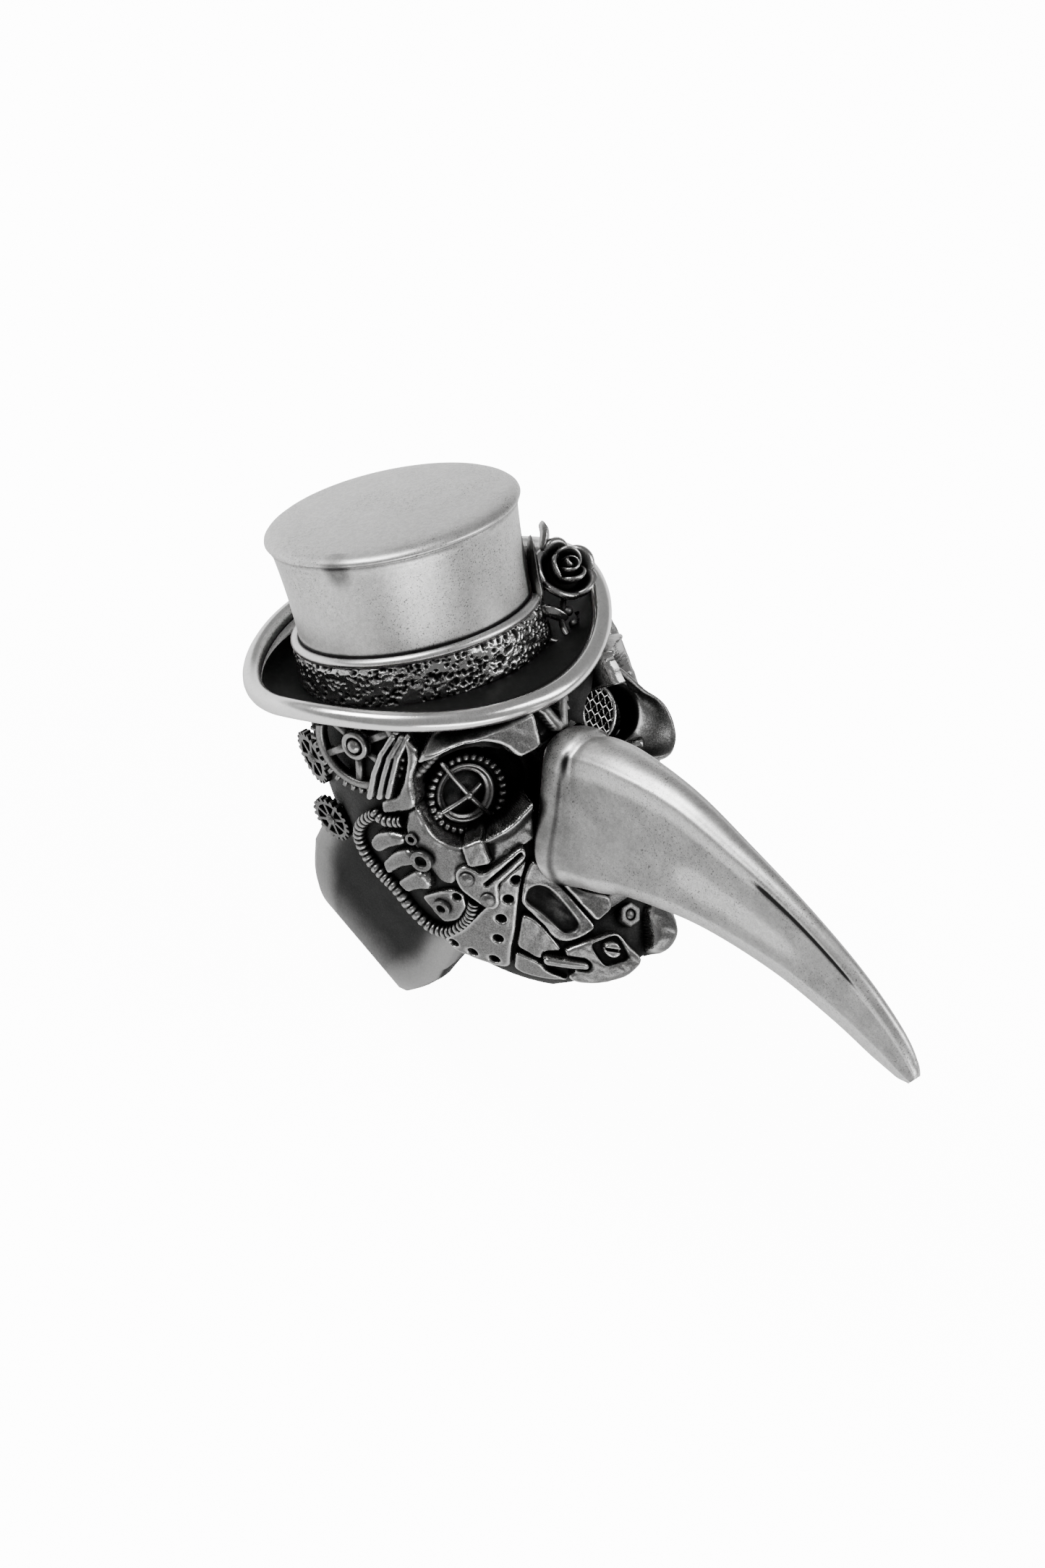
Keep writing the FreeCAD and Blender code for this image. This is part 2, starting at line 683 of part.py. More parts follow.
# ---- assembly -------------------------------------------------------------------------
CROWN = make_crown()
BRIM = make_brim().cut(CROWN)
BEAK = make_beak()
HAT_PIECES = {
    "hat_crown": CROWN,
    "hat_band": make_band(),
    "hat_band_wire": make_bead(),
    "hat_brim": BRIM,
    "rose_outer_petals": make_outer_petals(),
    "rose_inner_petals": make_inner_petals(),
    "rose_bud": make_bud(),
    "rose_leaves": make_leaves(),
    "rose_stem": make_stem(),
}
# One node on each side of the head
PAIRS = {
    "orbit_plate": under_hat(make_orbit()),
    "brow_ridge": under_hat(make_brow()),
    "eye_cup": make_eye_cup(),
    "temple_gear": under_hat(make_temple_gear()),
    "breathing_hose": make_hose(),
    "elbow_hose": make_elbow(),
    "cheek_ring_plate": make_cheek_ring(),
    "hinge_bracket": make_hinge_bracket(),
    "jaw_plate": make_jaw_plate(),
    "chin_window_plate": make_window_plate(),
}
# Pieces with a shank that goes through the wall of the head
PINNED = {
    "temple_gear_hubs": both(make_gear_hub()),
    "small_gears": both(make_small_gear()),
    "rear_gears": both(make_rear_gear()),
    "bracket_rivets": both(make_bracket_rivets()),
    "slotted_screws": both(make_screw()),
    "chin_nut_stud": [make_nut_stud()],
    "bridge_pins": [under_hat(pin) for pin in make_bridge_pins()],
}
SURFACE_PIECES = {
    "nose_bridge": under_hat(make_bridge()),
    "eye_cog_right": make_cog(),
    "eye_dial_right": make_dial(),
    "eye_cross_right": make_cross(),
    "eye_mesh_left": make_mesh_dome(),
    "eye_mesh_rim_left": make_mesh_rim(),
    "eye_bead_ring_left": make_eye_beads(),
    "eye_scroll_left": make_scroll(),
    "eye_studs": both(make_eye_stud()),
    "temple_fins": both([under_hat(fin) for fin in make_fins()]),
    "temple_beads": both(make_temple_beads()),
    "cheek_rib_plates": both(make_cheek_ribs()),
    "cheek_ports": both(make_port(1.0, 10.8, 4.1, -13.8)),
    "small_ports": both(make_port(0.6, 11.05, 3.8, -12.0)),
    "chin_strap": make_chin_strap(),
    "chin_links": both(make_chin_link()),
    "screw_plates": both(make_screw_plate()),
    "chin_nut": make_nut(),
    "chin_wedges": both(make_chin_wedge()),
    "beak": BEAK,
    "beak_collar": make_collar(),
}

cavities = [placed(socket(-1.6, 9, side), eye_seat(side)) for side in (-1, 1)]
cavities.append(beak_body(0, BEAK_TENON_END, 0))
cavities.append(placed(disc(BRIM_HOLE_R, -2.3, 2), HAT))
cavities.append(placed(disc(30, -BRIM_PLATE / 2, 20), HAT))
cavities.append(placed(BRIM, HAT))
for pieces in PINNED.values():
    cavities += pieces
save("head_shell", make_head_shell(cavities))
save("shank", make_shank(), Placement())
for name, pieces in {**SURFACE_PIECES, **PINNED}.items():
    save(name, pieces)
for name, piece in HAT_PIECES.items():
    save(name, piece, FACE.multiply(HAT))
for name, piece in PAIRS.items():
    save(name + "_left", piece)
    save(name + "_right", mirrored(piece))
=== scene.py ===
import bmesh
import bpy
import json
import math
import numpy as np
from mathutils import Matrix, Vector, noise


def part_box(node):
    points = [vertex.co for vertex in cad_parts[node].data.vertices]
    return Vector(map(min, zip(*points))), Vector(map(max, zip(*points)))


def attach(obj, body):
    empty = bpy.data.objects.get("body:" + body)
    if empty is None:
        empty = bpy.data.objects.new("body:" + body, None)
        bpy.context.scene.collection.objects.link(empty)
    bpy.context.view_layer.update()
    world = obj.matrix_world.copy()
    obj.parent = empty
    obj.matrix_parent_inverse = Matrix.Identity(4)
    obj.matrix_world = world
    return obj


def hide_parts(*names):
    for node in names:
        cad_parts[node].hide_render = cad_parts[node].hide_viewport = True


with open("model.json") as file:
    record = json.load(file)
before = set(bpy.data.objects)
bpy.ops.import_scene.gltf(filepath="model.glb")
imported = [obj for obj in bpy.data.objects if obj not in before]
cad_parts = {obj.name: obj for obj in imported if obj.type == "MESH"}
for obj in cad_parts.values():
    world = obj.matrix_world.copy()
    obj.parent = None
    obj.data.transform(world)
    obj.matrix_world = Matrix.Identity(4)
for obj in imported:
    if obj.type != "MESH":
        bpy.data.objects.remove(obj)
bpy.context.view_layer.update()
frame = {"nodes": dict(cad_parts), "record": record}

# The head is drawn in a face frame, in millimetres: across grows towards the mask's own
# left, forward out of the face, up towards the hat, with the origin mid-brim.
MM = 0.001
FACE_ORIGIN = Vector((0, 11.1, 21.1))
FACE_PITCH = math.radians(-50)
FACE = Matrix.Translation(FACE_ORIGIN) @ Matrix.Rotation(FACE_PITCH, 4, "X")
UP = Vector((0, 0, 1))
BODY = "root"

SKULL_MID = -1.0
SKULL_POWER = 2.1
# up, half width, front, back
SKULL_STATIONS = (
    (0.4, 10.0, 9.0, -11.0),
    (-3.0, 11.4, 10.2, -12.2),
    (-7.0, 11.9, 10.9, -12.4),
    (-11.0, 12.0, 11.2, -12.4),
    (-15.0, 11.7, 11.0, -12.4),
    (-19.0, 11.1, 10.8, -12.4),
    (-23.0, 10.2, 11.1, -12.4),
    (-26.0, 8.9, 11.5, -12.4),
    (-28.2, 7.0, 11.3, -12.4),
    (-29.4, 5.0, 10.4, -12.4),
)
ARC = 0.2  # millimetres round the skull for one degree

EYE_ACROSS = 6.9
EYE_FORWARD = 6.3
EYE_UP = -10.4
EYE_TOE_OUT = math.radians(17)

HAT_BASE = (-0.6, -2.7, -3.0)
HAT_AXIS = (0.098, 0.045, 0.994)
CROWN_BASE_R = 9.45
CROWN_TOP_R = 10.2
CROWN_HEIGHT = 13.3
CROWN_STRETCH = 1.05
BAND_HEIGHT = 3.7
BAND_R = 10.0
BRIM_HALF_WIDTH = 15.2
BRIM_FRONT_REACH = 15.6
BRIM_BACK_REACH = 12.9
BRIM_RIM_R = 0.8
BRIM_PLATE = 0.9
BRIM_RIGHT_CURL = 2.2
BRIM_LEFT_CURL = 4.0
BRIM_FRONT_DIP = 0.7
BRIM_BACK_LIFT = 4.4

# forward, up, height, half width of the ridge, half width of the cheek line, height of the
# cheek line as a share of the section, width of the keel as a share; from face to tip
BEAK_STATIONS = (
    (9.4, -13.8, 12.4, 2.5, 5.8, -0.20, 0.70),
    (11.2, -13.9, 12.6, 2.5, 5.8, -0.20, 0.70),
    (13.4, -14.5, 12.9, 2.4, 4.6, -0.27, 0.71),
    (17.3, -15.2, 12.9, 2.2, 3.2, -0.31, 0.70),
    (22.5, -16.9, 11.9, 1.7, 2.9, -0.27, 0.66),
    (27.6, -19.8, 10.0, 1.3, 2.4, -0.22, 0.60),
    (33.0, -23.7, 8.5, 0.95, 1.8, -0.15, 0.50),
    (37.5, -27.9, 7.0, 0.8, 1.35, -0.08, 0.45),
    (40.6, -31.7, 5.3, 0.65, 1.0, -0.03, 0.45),
    (42.0, -34.0, 3.3, 0.5, 0.7, 0.0, 0.50),
    (42.5, -35.0, 1.6, 0.3, 0.4, 0.0, 0.50),
)

BORE_R = 8.7
SHANK_OUTER = 10.4
SEAT_Z = 8.0


# ---- frames and curves ----------------------------------------------------------------
def at(across, forward, up):
    """A point of the face frame."""
    return Vector((across, -forward, up))


def seat(point, outward):
    """A local frame on a surface: z leaves the surface, y climbs."""
    normal = Vector(outward).normalized()
    right = UP.cross(normal).normalized()
    turn = Matrix((right, normal.cross(right), normal)).transposed().to_4x4()
    return Matrix.Translation(point) @ turn


def hat_frame():
    z_axis = at(*HAT_AXIS).normalized()
    y_axis = z_axis.cross(Vector((1, 0, 0))).normalized()
    turn = Matrix((y_axis.cross(z_axis), y_axis, z_axis)).transposed().to_4x4()
    return Matrix.Translation(at(*HAT_BASE)) @ turn


HAT = FACE @ hat_frame()


def eye_seat(side, lift=0.0):
    outward = at(side * math.sin(EYE_TOE_OUT), math.cos(EYE_TOE_OUT), 0)
    return seat(at(side * EYE_ACROSS, EYE_FORWARD, EYE_UP) + outward * lift, outward)


def hermite(before, start, end, after, t):
    """A point between start and end on a smooth curve through all four."""
    squared = t * t
    cubed = squared * t
    leave = (end - before) / 2
    arrive = (after - start) / 2
    return ((2 * cubed - 3 * squared + 1) * start + (cubed - 2 * squared + t) * leave
            + (3 * squared - 2 * cubed) * end + (cubed - squared) * arrive)


def through(rows, t, closed=False):
    """Smooth curve through rows of numbers; t counts rows."""
    count = len(rows)
    index = math.floor(t) if closed else min(max(math.floor(t), 0), count - 2)
    if closed:
        near = [rows[(index + k) % count] for k in (-1, 0, 1, 2)]
    else:
        near = [rows[min(max(index + k, 0), count - 1)] for k in (-1, 0, 1, 2)]
    return hermite(*(np.array(row, dtype=float) for row in near), t - index)


def smooth_rows(rows, count):
    return [tuple(through(rows, step * (len(rows) - 1) / (count - 1))) for step in range(count)]


def smooth_path(points, count):
    return [Vector(row) for row in smooth_rows(points, count)]


def ease(low, high, value):
    """A soft step from 0 at low to 1 at high."""
    share = np.clip((value - low) / (high - low), 0, 1)
    return share * share * (3 - 2 * share)


def bell(value, middle, width):
    """A soft bump of height 1 about the middle."""
    return np.exp(-((value - middle) / width) ** 2)


def full_turn(count):
    """Angles of one turn in equal steps."""
    return [2 * math.pi * step / count for step in range(count)]


def spun(radius, turn, height, stretch=1.0):
    return (radius * math.cos(turn), stretch * radius * math.sin(turn), height)


def polar(radius, degrees, height):
    return spun(radius, math.radians(degrees), height)


# ---- the skull's surface --------------------------------------------------------------
UPS = np.array([row[0] for row in SKULL_STATIONS])[::-1]
FINE_UPS = np.linspace(UPS[0], UPS[-1], 200)


def fine_column(column):
    """One column of the stations, on a fine and even scale of heights."""
    values = np.array([row[column] for row in SKULL_STATIONS])[::-1]
    steps = np.interp(FINE_UPS, UPS, np.arange(len(UPS)))
    rows = [(value,) for value in values]
    return np.array([through(rows, step)[0] for step in steps])


HALF_WIDTHS = fine_column(1)
FRONTS = fine_column(2)
BACKS = fine_column(3)


def wrap(angle, up, lift):
    """Points on the skull, from arrays of the angle in degrees, the height and the lift.

    The angle is 0 at the mask's left, 90 in front and 180 at its right.
    """
    half = np.interp(up, FINE_UPS, HALF_WIDTHS) + lift
    front = np.interp(up, FINE_UPS, FRONTS) - SKULL_MID + lift
    back = SKULL_MID - np.interp(up, FINE_UPS, BACKS) + lift
    cosine = np.cos(np.radians(angle))
    sine = np.sin(np.radians(angle))
    run = np.sign(cosine) * np.abs(cosine) ** (2 / SKULL_POWER)
    rise = np.sign(sine) * np.abs(sine) ** (2 / SKULL_POWER)
    forward = SKULL_MID + np.where(sine > 0, front, back) * rise
    return np.stack((half * run, -forward, up + 0 * half), axis=-1)


def skull_point(angle, up, lift=0.0):
    return Vector(wrap(np.array(float(angle)), np.array(float(up)), np.array(float(lift))))


def skull_seat(angle, up, lift=0.0):
    point = skull_point(angle, up, lift)
    along = skull_point(angle + 2, up, lift) - skull_point(angle - 2, up, lift)
    climb = skull_point(angle, up + 0.4, lift) - skull_point(angle, up - 0.4, lift)
    normal = climb.cross(along).normalized()
    if normal.dot(point - at(0, SKULL_MID, up)) < 0:
        normal.negate()
    return seat(point, normal)


# ---- materials ------------------------------------------------------------------------
class Nodes:
    """A short way to write a node tree."""

    def __init__(self, name):
        self.material = bpy.data.materials.new(name)
        self.material.use_nodes = True
        self.tree = self.material.node_tree
        self.tree.nodes.clear()

    def link(self, value, socket):
        if isinstance(value, bpy.types.NodeSocket):
            self.tree.links.new(value, socket)
        else:
            socket.default_value = value

    def maths(self, operation, a, b=0.0, clamp=False):
        node = self.tree.nodes.new("ShaderNodeMath")
        node.operation = operation
        node.use_clamp = clamp
        self.link(a, node.inputs[0])
        self.link(b, node.inputs[1])
        return node.outputs[0]

    def add(self, a, b, clamp=False):
        return self.maths("ADD", a, b, clamp)

    def minus(self, a, b, clamp=False):
        return self.maths("SUBTRACT", a, b, clamp)

    def times(self, a, b):
        return self.maths("MULTIPLY", a, b)

    def clamped(self, value):
        return self.add(value, 0.0, True)

    def ramp(self, value, low, high, from_value=0.0, to_value=1.0):
        node = self.tree.nodes.new("ShaderNodeMapRange")
        node.interpolation_type = "SMOOTHSTEP"
        for index, item in enumerate((value, low, high, from_value, to_value)):
            self.link(item, node.inputs[index])
        return node.outputs[0]

    def noise(self, scale, detail=3.0, rough=0.55):
        where = self.tree.nodes.new("ShaderNodeNewGeometry").outputs["Position"]
        node = self.tree.nodes.new("ShaderNodeTexNoise")
        self.link(where, node.inputs["Vector"])
        node.inputs["Scale"].default_value = scale
        node.inputs["Detail"].default_value = detail
        node.inputs["Roughness"].default_value = rough
        return node.outputs["Fac"]

    def attribute(self, name):
        node = self.tree.nodes.new("ShaderNodeAttribute")
        node.attribute_name = name
        return node.outputs["Fac"]

    def mix(self, factor, a, b):
        node = self.tree.nodes.new("ShaderNodeMix")
        node.data_type = "RGBA"
        self.link(factor, node.inputs[0])
        self.link(a, node.inputs[6])
        self.link(b, node.inputs[7])
        return node.outputs[2]

    def shader(self, colour, roughness, metallic=1.0, normal=None):
        node = self.tree.nodes.new("ShaderNodeBsdfPrincipled")
        self.link(colour, node.inputs["Base Color"])
        self.link(roughness, node.inputs["Roughness"])
        node.inputs["Metallic"].default_value = metallic
        if normal:
            self.link(normal, node.inputs["Normal"])
        out = self.tree.nodes.new("ShaderNodeOutputMaterial")
        self.link(node.outputs[0], out.inputs[0])
        return self.material


def grey(value):
    return (value, value * 0.995, value * 0.985, 1)


def silver(name, bright=0.8, dark=0.03, reach=1.2, cover=0.5, worn_gain=0.4, gloss=0.25, satin=0.45,
           grain=0.15, speckle=0.0, stippling=0.0, uneven=0.9):
    """Cast silver: bright where it is rubbed, black oxide where the relief is deep.

    reach is how far the recess test looks, in millimetres, and cover is how open a spot
    has to be to stay bright. Meshes may carry a darkening mark, for oxide and for painted shade
    and painted dark reflections, and "wear", which add to the test.
    """
    n = Nodes(name)
    ao = n.tree.nodes.new("ShaderNodeAmbientOcclusion")
    ao.samples = 8
    ao.inputs["Distance"].default_value = reach * MM
    patch = n.noise(420, 4)
    fine = n.noise(2600, 3, 0.6)
    # darkening carried by the mesh: oxide, painted shade and painted dark reflections
    oxide_and_shade = n.attribute("oxide_and_shade")
    worn = n.clamped(n.attribute("wear"))
    breakup = n.times(n.minus(patch, 0.5), uneven)
    openness = n.minus(n.add(ao.outputs["AO"], breakup), oxide_and_shade)
    clear = n.ramp(openness, cover - 0.28, cover + 0.22)
    shine = n.add(clear, n.times(worn, worn_gain), True)
    stipple = n.ramp(n.noise(8500, 2, 0.7), 0.42, 0.6)
    skin = n.mix(n.ramp(fine, 0.35, 0.65), grey(bright * 0.84), grey(bright))
    skin = n.mix(n.times(stipple, stippling), skin, grey(bright * 0.3))
    skin = n.mix(n.times(worn, 0.7), skin, grey(min(0.85, bright * 1.2 + 0.3)))
    if speckle:
        dots = n.ramp(n.noise(7000, 2, 0.6), 0.58, 0.66)
        area = n.ramp(n.noise(150, 2), 0.34, 0.6)
        clean = n.minus(speckle, n.times(worn, speckle))
        skin = n.mix(n.times(n.times(dots, area), clean), skin, grey(0.12))
    colour = n.mix(shine, grey(dark), skin)
    rough = n.ramp(shine, 0.0, 1.0, 0.6, satin)
    rough = n.add(rough, n.times(n.minus(patch, 0.55), 0.22))
    rough = n.minus(rough, n.times(worn, satin - gloss), True)
    height = n.add(n.noise(1500, 4, 0.6), n.times(n.noise(5000, 2), 0.5))
    bump = n.tree.nodes.new("ShaderNodeBump")
    bump.inputs["Strength"].default_value = grain
    bump.inputs["Distance"].default_value = 0.05 * MM
    n.link(height, bump.inputs["Height"])
    return n.shader(colour, rough, 1.0, bump.outputs[0])


COMMON_FINISH = "worn_relief_silver"
FINISHES = {
    "polished_silver": silver("polished_silver", bright=0.6, dark=0.012, cover=0.3, gloss=0.16,
                              satin=0.42, grain=0.14, speckle=0.9, stippling=0.25, uneven=0.2),
    COMMON_FINISH: silver(COMMON_FINISH, bright=0.17, dark=0.006, reach=1.8, cover=0.72,
                          worn_gain=0.6, gloss=0.2, satin=0.42, grain=0.7, speckle=0.6,
                          stippling=0.6),
    "oxidised_silver": silver("oxidised_silver", bright=0.03, dark=0.003, reach=2.4, cover=0.8,
                              worn_gain=0.1, gloss=0.35, satin=0.55, grain=0.6, stippling=0.5),
    "satin_silver": silver("satin_silver", bright=0.13, dark=0.01, reach=5.0, cover=0.72,
                           gloss=0.28, satin=0.42, grain=0.3, speckle=0.4, stippling=0.5,
                           uneven=0.25),
}


# ---- meshes ---------------------------------------------------------------------------
def smooth_mesh(mesh, ceiling):
    """Turn all faces outward and shade them smooth, after a cut at the ceiling."""
    work = bmesh.new()
    work.from_mesh(mesh)
    if ceiling:
        every = work.verts[:] + work.edges[:] + work.faces[:]
        bmesh.ops.bisect_plane(work, geom=every, plane_co=ceiling[0] * MM, plane_no=ceiling[1],
                               clear_outer=True)
        bmesh.ops.holes_fill(work, edges=[edge for edge in work.edges if edge.is_boundary])
    bmesh.ops.recalc_face_normals(work, faces=work.faces)
    for face in work.faces:
        face.smooth = True
    work.to_mesh(mesh)
    work.free()


class Shape:
    """Points, faces and marks of one piece, gathered in millimetres before it is built."""

    def __init__(self):
        self.points = []
        self.faces = []
        self.oxide_and_shade = []
        self.wear = []

    def add(self, points, faces, place=Matrix(), oxide_and_shade=0.0, wear=0.0):
        first = len(self.points)
        points = [place @ Vector(point) for point in points]
        count = len(points)
        self.points += points
        self.faces += [tuple(first + index for index in face) for face in faces]
        self.oxide_and_shade += list(oxide_and_shade) if hasattr(oxide_and_shade, "__len__") else [oxide_and_shade] * count
        self.wear += list(wear) if hasattr(wear, "__len__") else [wear] * count
        return self

    def add_shape(self, other):
        return self.add(other.points, other.faces, Matrix(), other.oxide_and_shade, other.wear)

    def mirrored(self):
        """The same piece on the mask's other side."""
        points = [(-p[0], p[1], p[2]) for p in self.points]
        return Shape().add(points, self.faces, Matrix(), self.oxide_and_shade, self.wear)

    def build(self, name, slot=COMMON_FINISH, place=FACE, nodes=None, ceiling=None):
        """Make the piece, which stands for the nodes given or for the node of its own name.

        A ceiling is a point and a direction: nothing is kept beyond it.
        """
        mesh = bpy.data.meshes.new(name)
        mesh.from_pydata([(place @ point) * MM for point in self.points], [], self.faces)
        for title, values in (("oxide_and_shade", self.oxide_and_shade), ("wear", self.wear)):
            mark = mesh.attributes.new(title, "FLOAT", "POINT")
            mark.data.foreach_set("value", values)
        smooth_mesh(mesh, ceiling)
        mesh.materials.append(FINISHES[slot])
        piece = bpy.data.objects.new(name, mesh)
        bpy.context.scene.collection.objects.link(piece)
        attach(piece, BODY)
        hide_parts(*(nodes or (name,)))


def grid_faces(rows, columns, close_columns=True, close_rows=False):
    """Quads over rows of points; the columns close into rings."""
    faces = []
    for row in range(rows if close_rows else rows - 1):
        for column in range(columns if close_columns else columns - 1):
            after = (column + 1) % columns
            below = (row + 1) % rows
            faces.append((row * columns + column, row * columns + after,
                          below * columns + after, below * columns + column))
    return faces


def add_rings(shape, rings, place=Matrix(), caps=True, close_rows=False, oxide_and_shade=0.0, wear=0.0):
    """Skin a list of rings of equal length."""
    columns = len(rings[0])
    faces = grid_faces(len(rings), columns, True, close_rows)
    if caps and not close_rows:
        faces.append(tuple(range(columns)))
        faces.append(tuple(range((len(rings) - 1) * columns, len(rings) * columns)))
    return shape.add([p for ring in rings for p in ring], faces, place, oxide_and_shade, wear)


AXIS_GAP = 0.002  # radius left round the axis, so that no two points of a ring coincide


def lathe(shape, profile, place=Matrix(), turns=48, stretch=1.0, oxide_and_shade=0.0, wear=0.0, ring=False):
    """Revolve a (radius, height) profile: a solid closed on the axis, or a ring."""
    rings = [[spun(max(radius, AXIS_GAP), turn, height, stretch) for turn in full_turn(turns)]
             for radius, height in profile]
    return add_rings(shape, rings, place, not ring, ring, oxide_and_shade, wear)


def rounded(points, radius):
    """Replace the corners of a closed outline by small curves."""
    result = []
    for index, point in enumerate(points):
        corner = Vector(point)
        before = Vector(points[index - 1]) - corner
        after = Vector(points[(index + 1) % len(points)]) - corner
        start = corner + before.normalized() * min(radius, before.length * 0.45)
        end = corner + after.normalized() * min(radius, after.length * 0.45)
        for t in (0, 0.25, 0.5, 0.75, 1):
            result.append(tuple(start * (1 - t) ** 2 + corner * 2 * t * (1 - t) + end * t * t))
    return result


def sweep(shape, path, outline, upward=UP, place=Matrix(), oxide_and_shade=0.0, wear=0.0):
    """Carry an outline of (side, rise) points along a path. It may be a function of the way t."""
    rings = []
    count = len(path)
    for index, point in enumerate(path):
        t = index / (count - 1)
        ahead = (path[min(index + 1, count - 1)] - path[max(index - 1, 0)]).normalized()
        hint = upward(t) if callable(upward) else upward
        side = ahead.cross(hint).normalized()
        rise = side.cross(ahead)
        section = outline(t) if callable(outline) else outline
        rings.append([point + side * a + rise * b for a, b in section])
    return add_rings(shape, rings, place, True, False, oxide_and_shade, wear)


def circle(radius, steps=12, flat=1.0):
    return [(radius * math.cos(turn), flat * radius * math.sin(turn)) for turn in full_turn(steps)]


# ---- relief: plates drawn flat and wrapped round the skull ----------------------------
RELIEF_STEP = 0.09
RELIEF_BASE = -0.45
RELIEF_FOOT = 0.15  # how far the underside lies below the base
FAR = 99.0
TINY = 1e-9


def line_distance(line, x, y):
    best = np.full(x.shape, FAR)
    for (ax, ay), (bx, by) in zip(line, line[1:]):
        ex, ey = bx - ax, by - ay
        along = np.clip(((x - ax) * ex + (y - ay) * ey) / max(ex * ex + ey * ey, TINY), 0, 1)
        best = np.minimum(best, np.hypot(x - ax - along * ex, y - ay - along * ey))
    return best


def inside_distance(outline, x, y):
    """Distance to a closed outline, positive inside."""
    inside = np.zeros(x.shape, bool)
    for (ax, ay), (bx, by) in zip(outline, outline[1:] + outline[:1]):
        ey = by - ay
        slope = (bx - ax) / (ey if abs(ey) > TINY else TINY)
        inside ^= ((ay > y) != (by > y)) & (x < slope * (y - ay) + ax)
    distance = line_distance(outline + outline[:1], x, y)
    return np.where(inside, distance, -distance)


def flat(points):
    """Points in degrees and millimetres, laid out flat in millimetres."""
    return [(angle * ARC, up) for angle, up in points]


def edge_profile(distance, level, edge, base):
    """Height of a plate: a rounded shoulder, then a wall down to the base."""
    share = np.clip(distance / edge, 0, 1)
    shoulder = level - edge * (1 - np.sqrt(np.maximum(1 - (1 - share) ** 2, 0)))
    return np.where(distance > 0, shoulder, np.maximum(level - edge + distance * 12, base))


def plate(outline, top, edge=0.25, corner=0.35, holes=(), hollow=None, depth=0.3, base=RELIEF_BASE):
    """A flat plate. top is a height, or a function of the angle and up."""
    points = rounded(flat(outline), corner)
    dip = rounded(flat(hollow), corner) if hollow else None

    def heights(x, y):
        level = top(x / ARC, y) if callable(top) else top
        distance = inside_distance(points, x, y)
        for angle, up, radius in holes:
            distance = np.minimum(distance, np.hypot(x - angle * ARC, y - up) - radius)
        height = edge_profile(distance, level, edge, base)
        if dip:
            height = height - depth * ease(-0.1, 0.16, inside_distance(dip, x, y))
        return height

    return points, heights


def bar(line, width, top):
    """A half-round bar along a line."""
    points = flat(line)
    corners = [(x + sx * width, y + sy * width) for x, y in points for sx, sy in ((-1, -1), (1, 1))]

    def heights(x, y):
        distance = width - line_distance(points, x, y)
        return edge_profile(distance, top, width, RELIEF_BASE)

    return corners, heights


def groove(line, width, depth, layer):
    """Cut a groove along a line into another layer."""
    corners, heights = layer
    points = flat(line)

    def cut(x, y):
        return heights(x, y) - depth * (1 - ease(width * 0.6, width * 1.3, line_distance(points, x, y)))

    return corners, cut


def soften(height, radius):
    """Mean of a height map over a small square."""
    total = np.zeros_like(height)
    padded = np.pad(height, radius, mode="edge")
    for dx in range(2 * radius + 1):
        for dy in range(2 * radius + 1):
            total += padded[dx:dx + height.shape[0], dy:dy + height.shape[1]]
    return total / (2 * radius + 1) ** 2


def height_map(layers, base, step):
    """The highest layer over an even grid that holds them all."""
    corners = np.array([corner for points, _ in layers for corner in points])
    low = corners.min(axis=0) - 3 * step
    high = corners.max(axis=0) + 3 * step
    spans = [np.arange(low[axis], high[axis], step) for axis in (0, 1)]
    x, y = np.meshgrid(*spans, indexing="ij")
    height = np.full(x.shape, base)
    for _, heights in layers:
        height = np.maximum(height, heights(x, y))
    return x, y, height


def relief_marks(height, solid, base, oxide_and_shade_gain):
    """Oxide and painted shade in the corners and hollows of a height map, and wear on its edges."""
    cavity = height - soften(height, 3)
    hollow = soften(np.where(solid, height, base), 8) - height
    oxide_and_shade = np.clip(np.maximum(-cavity * oxide_and_shade_gain - 0.1, hollow * 1.6), 0, 1)
    return oxide_and_shade, np.clip(cavity * 4.0 - 0.1, 0, 1)


def hammered(height, x, y):
    """The slight waves that a hand-worked surface keeps."""
    waves = 0.02 * np.sin(2.3 * x + 1.7 * np.sin(1.9 * y))
    return height + waves + 0.015 * np.sin(5.1 * y + 2 * np.sin(3.7 * x))


def skin_faces(keep, number, count):
    """Top, underside and walls over the grid's kept cells."""
    faces = []
    for i, j in zip(*np.nonzero(keep)):
        corners = ((i, j), (i + 1, j), (i + 1, j + 1), (i, j + 1))
        top = [int(number[corner]) for corner in corners]
        faces.append(tuple(top))
        faces.append(tuple(index + count for index in reversed(top)))
        for side, (di, dj) in enumerate(((0, -1), (1, 0), (0, 1), (-1, 0))):
            ni, nj = i + di, j + dj
            if 0 <= ni < keep.shape[0] and 0 <= nj < keep.shape[1] and keep[ni, nj]:
                continue
            a, b = top[side], top[(side + 1) % 4]
            faces.append((b, a, a + count, b + count))
    return faces


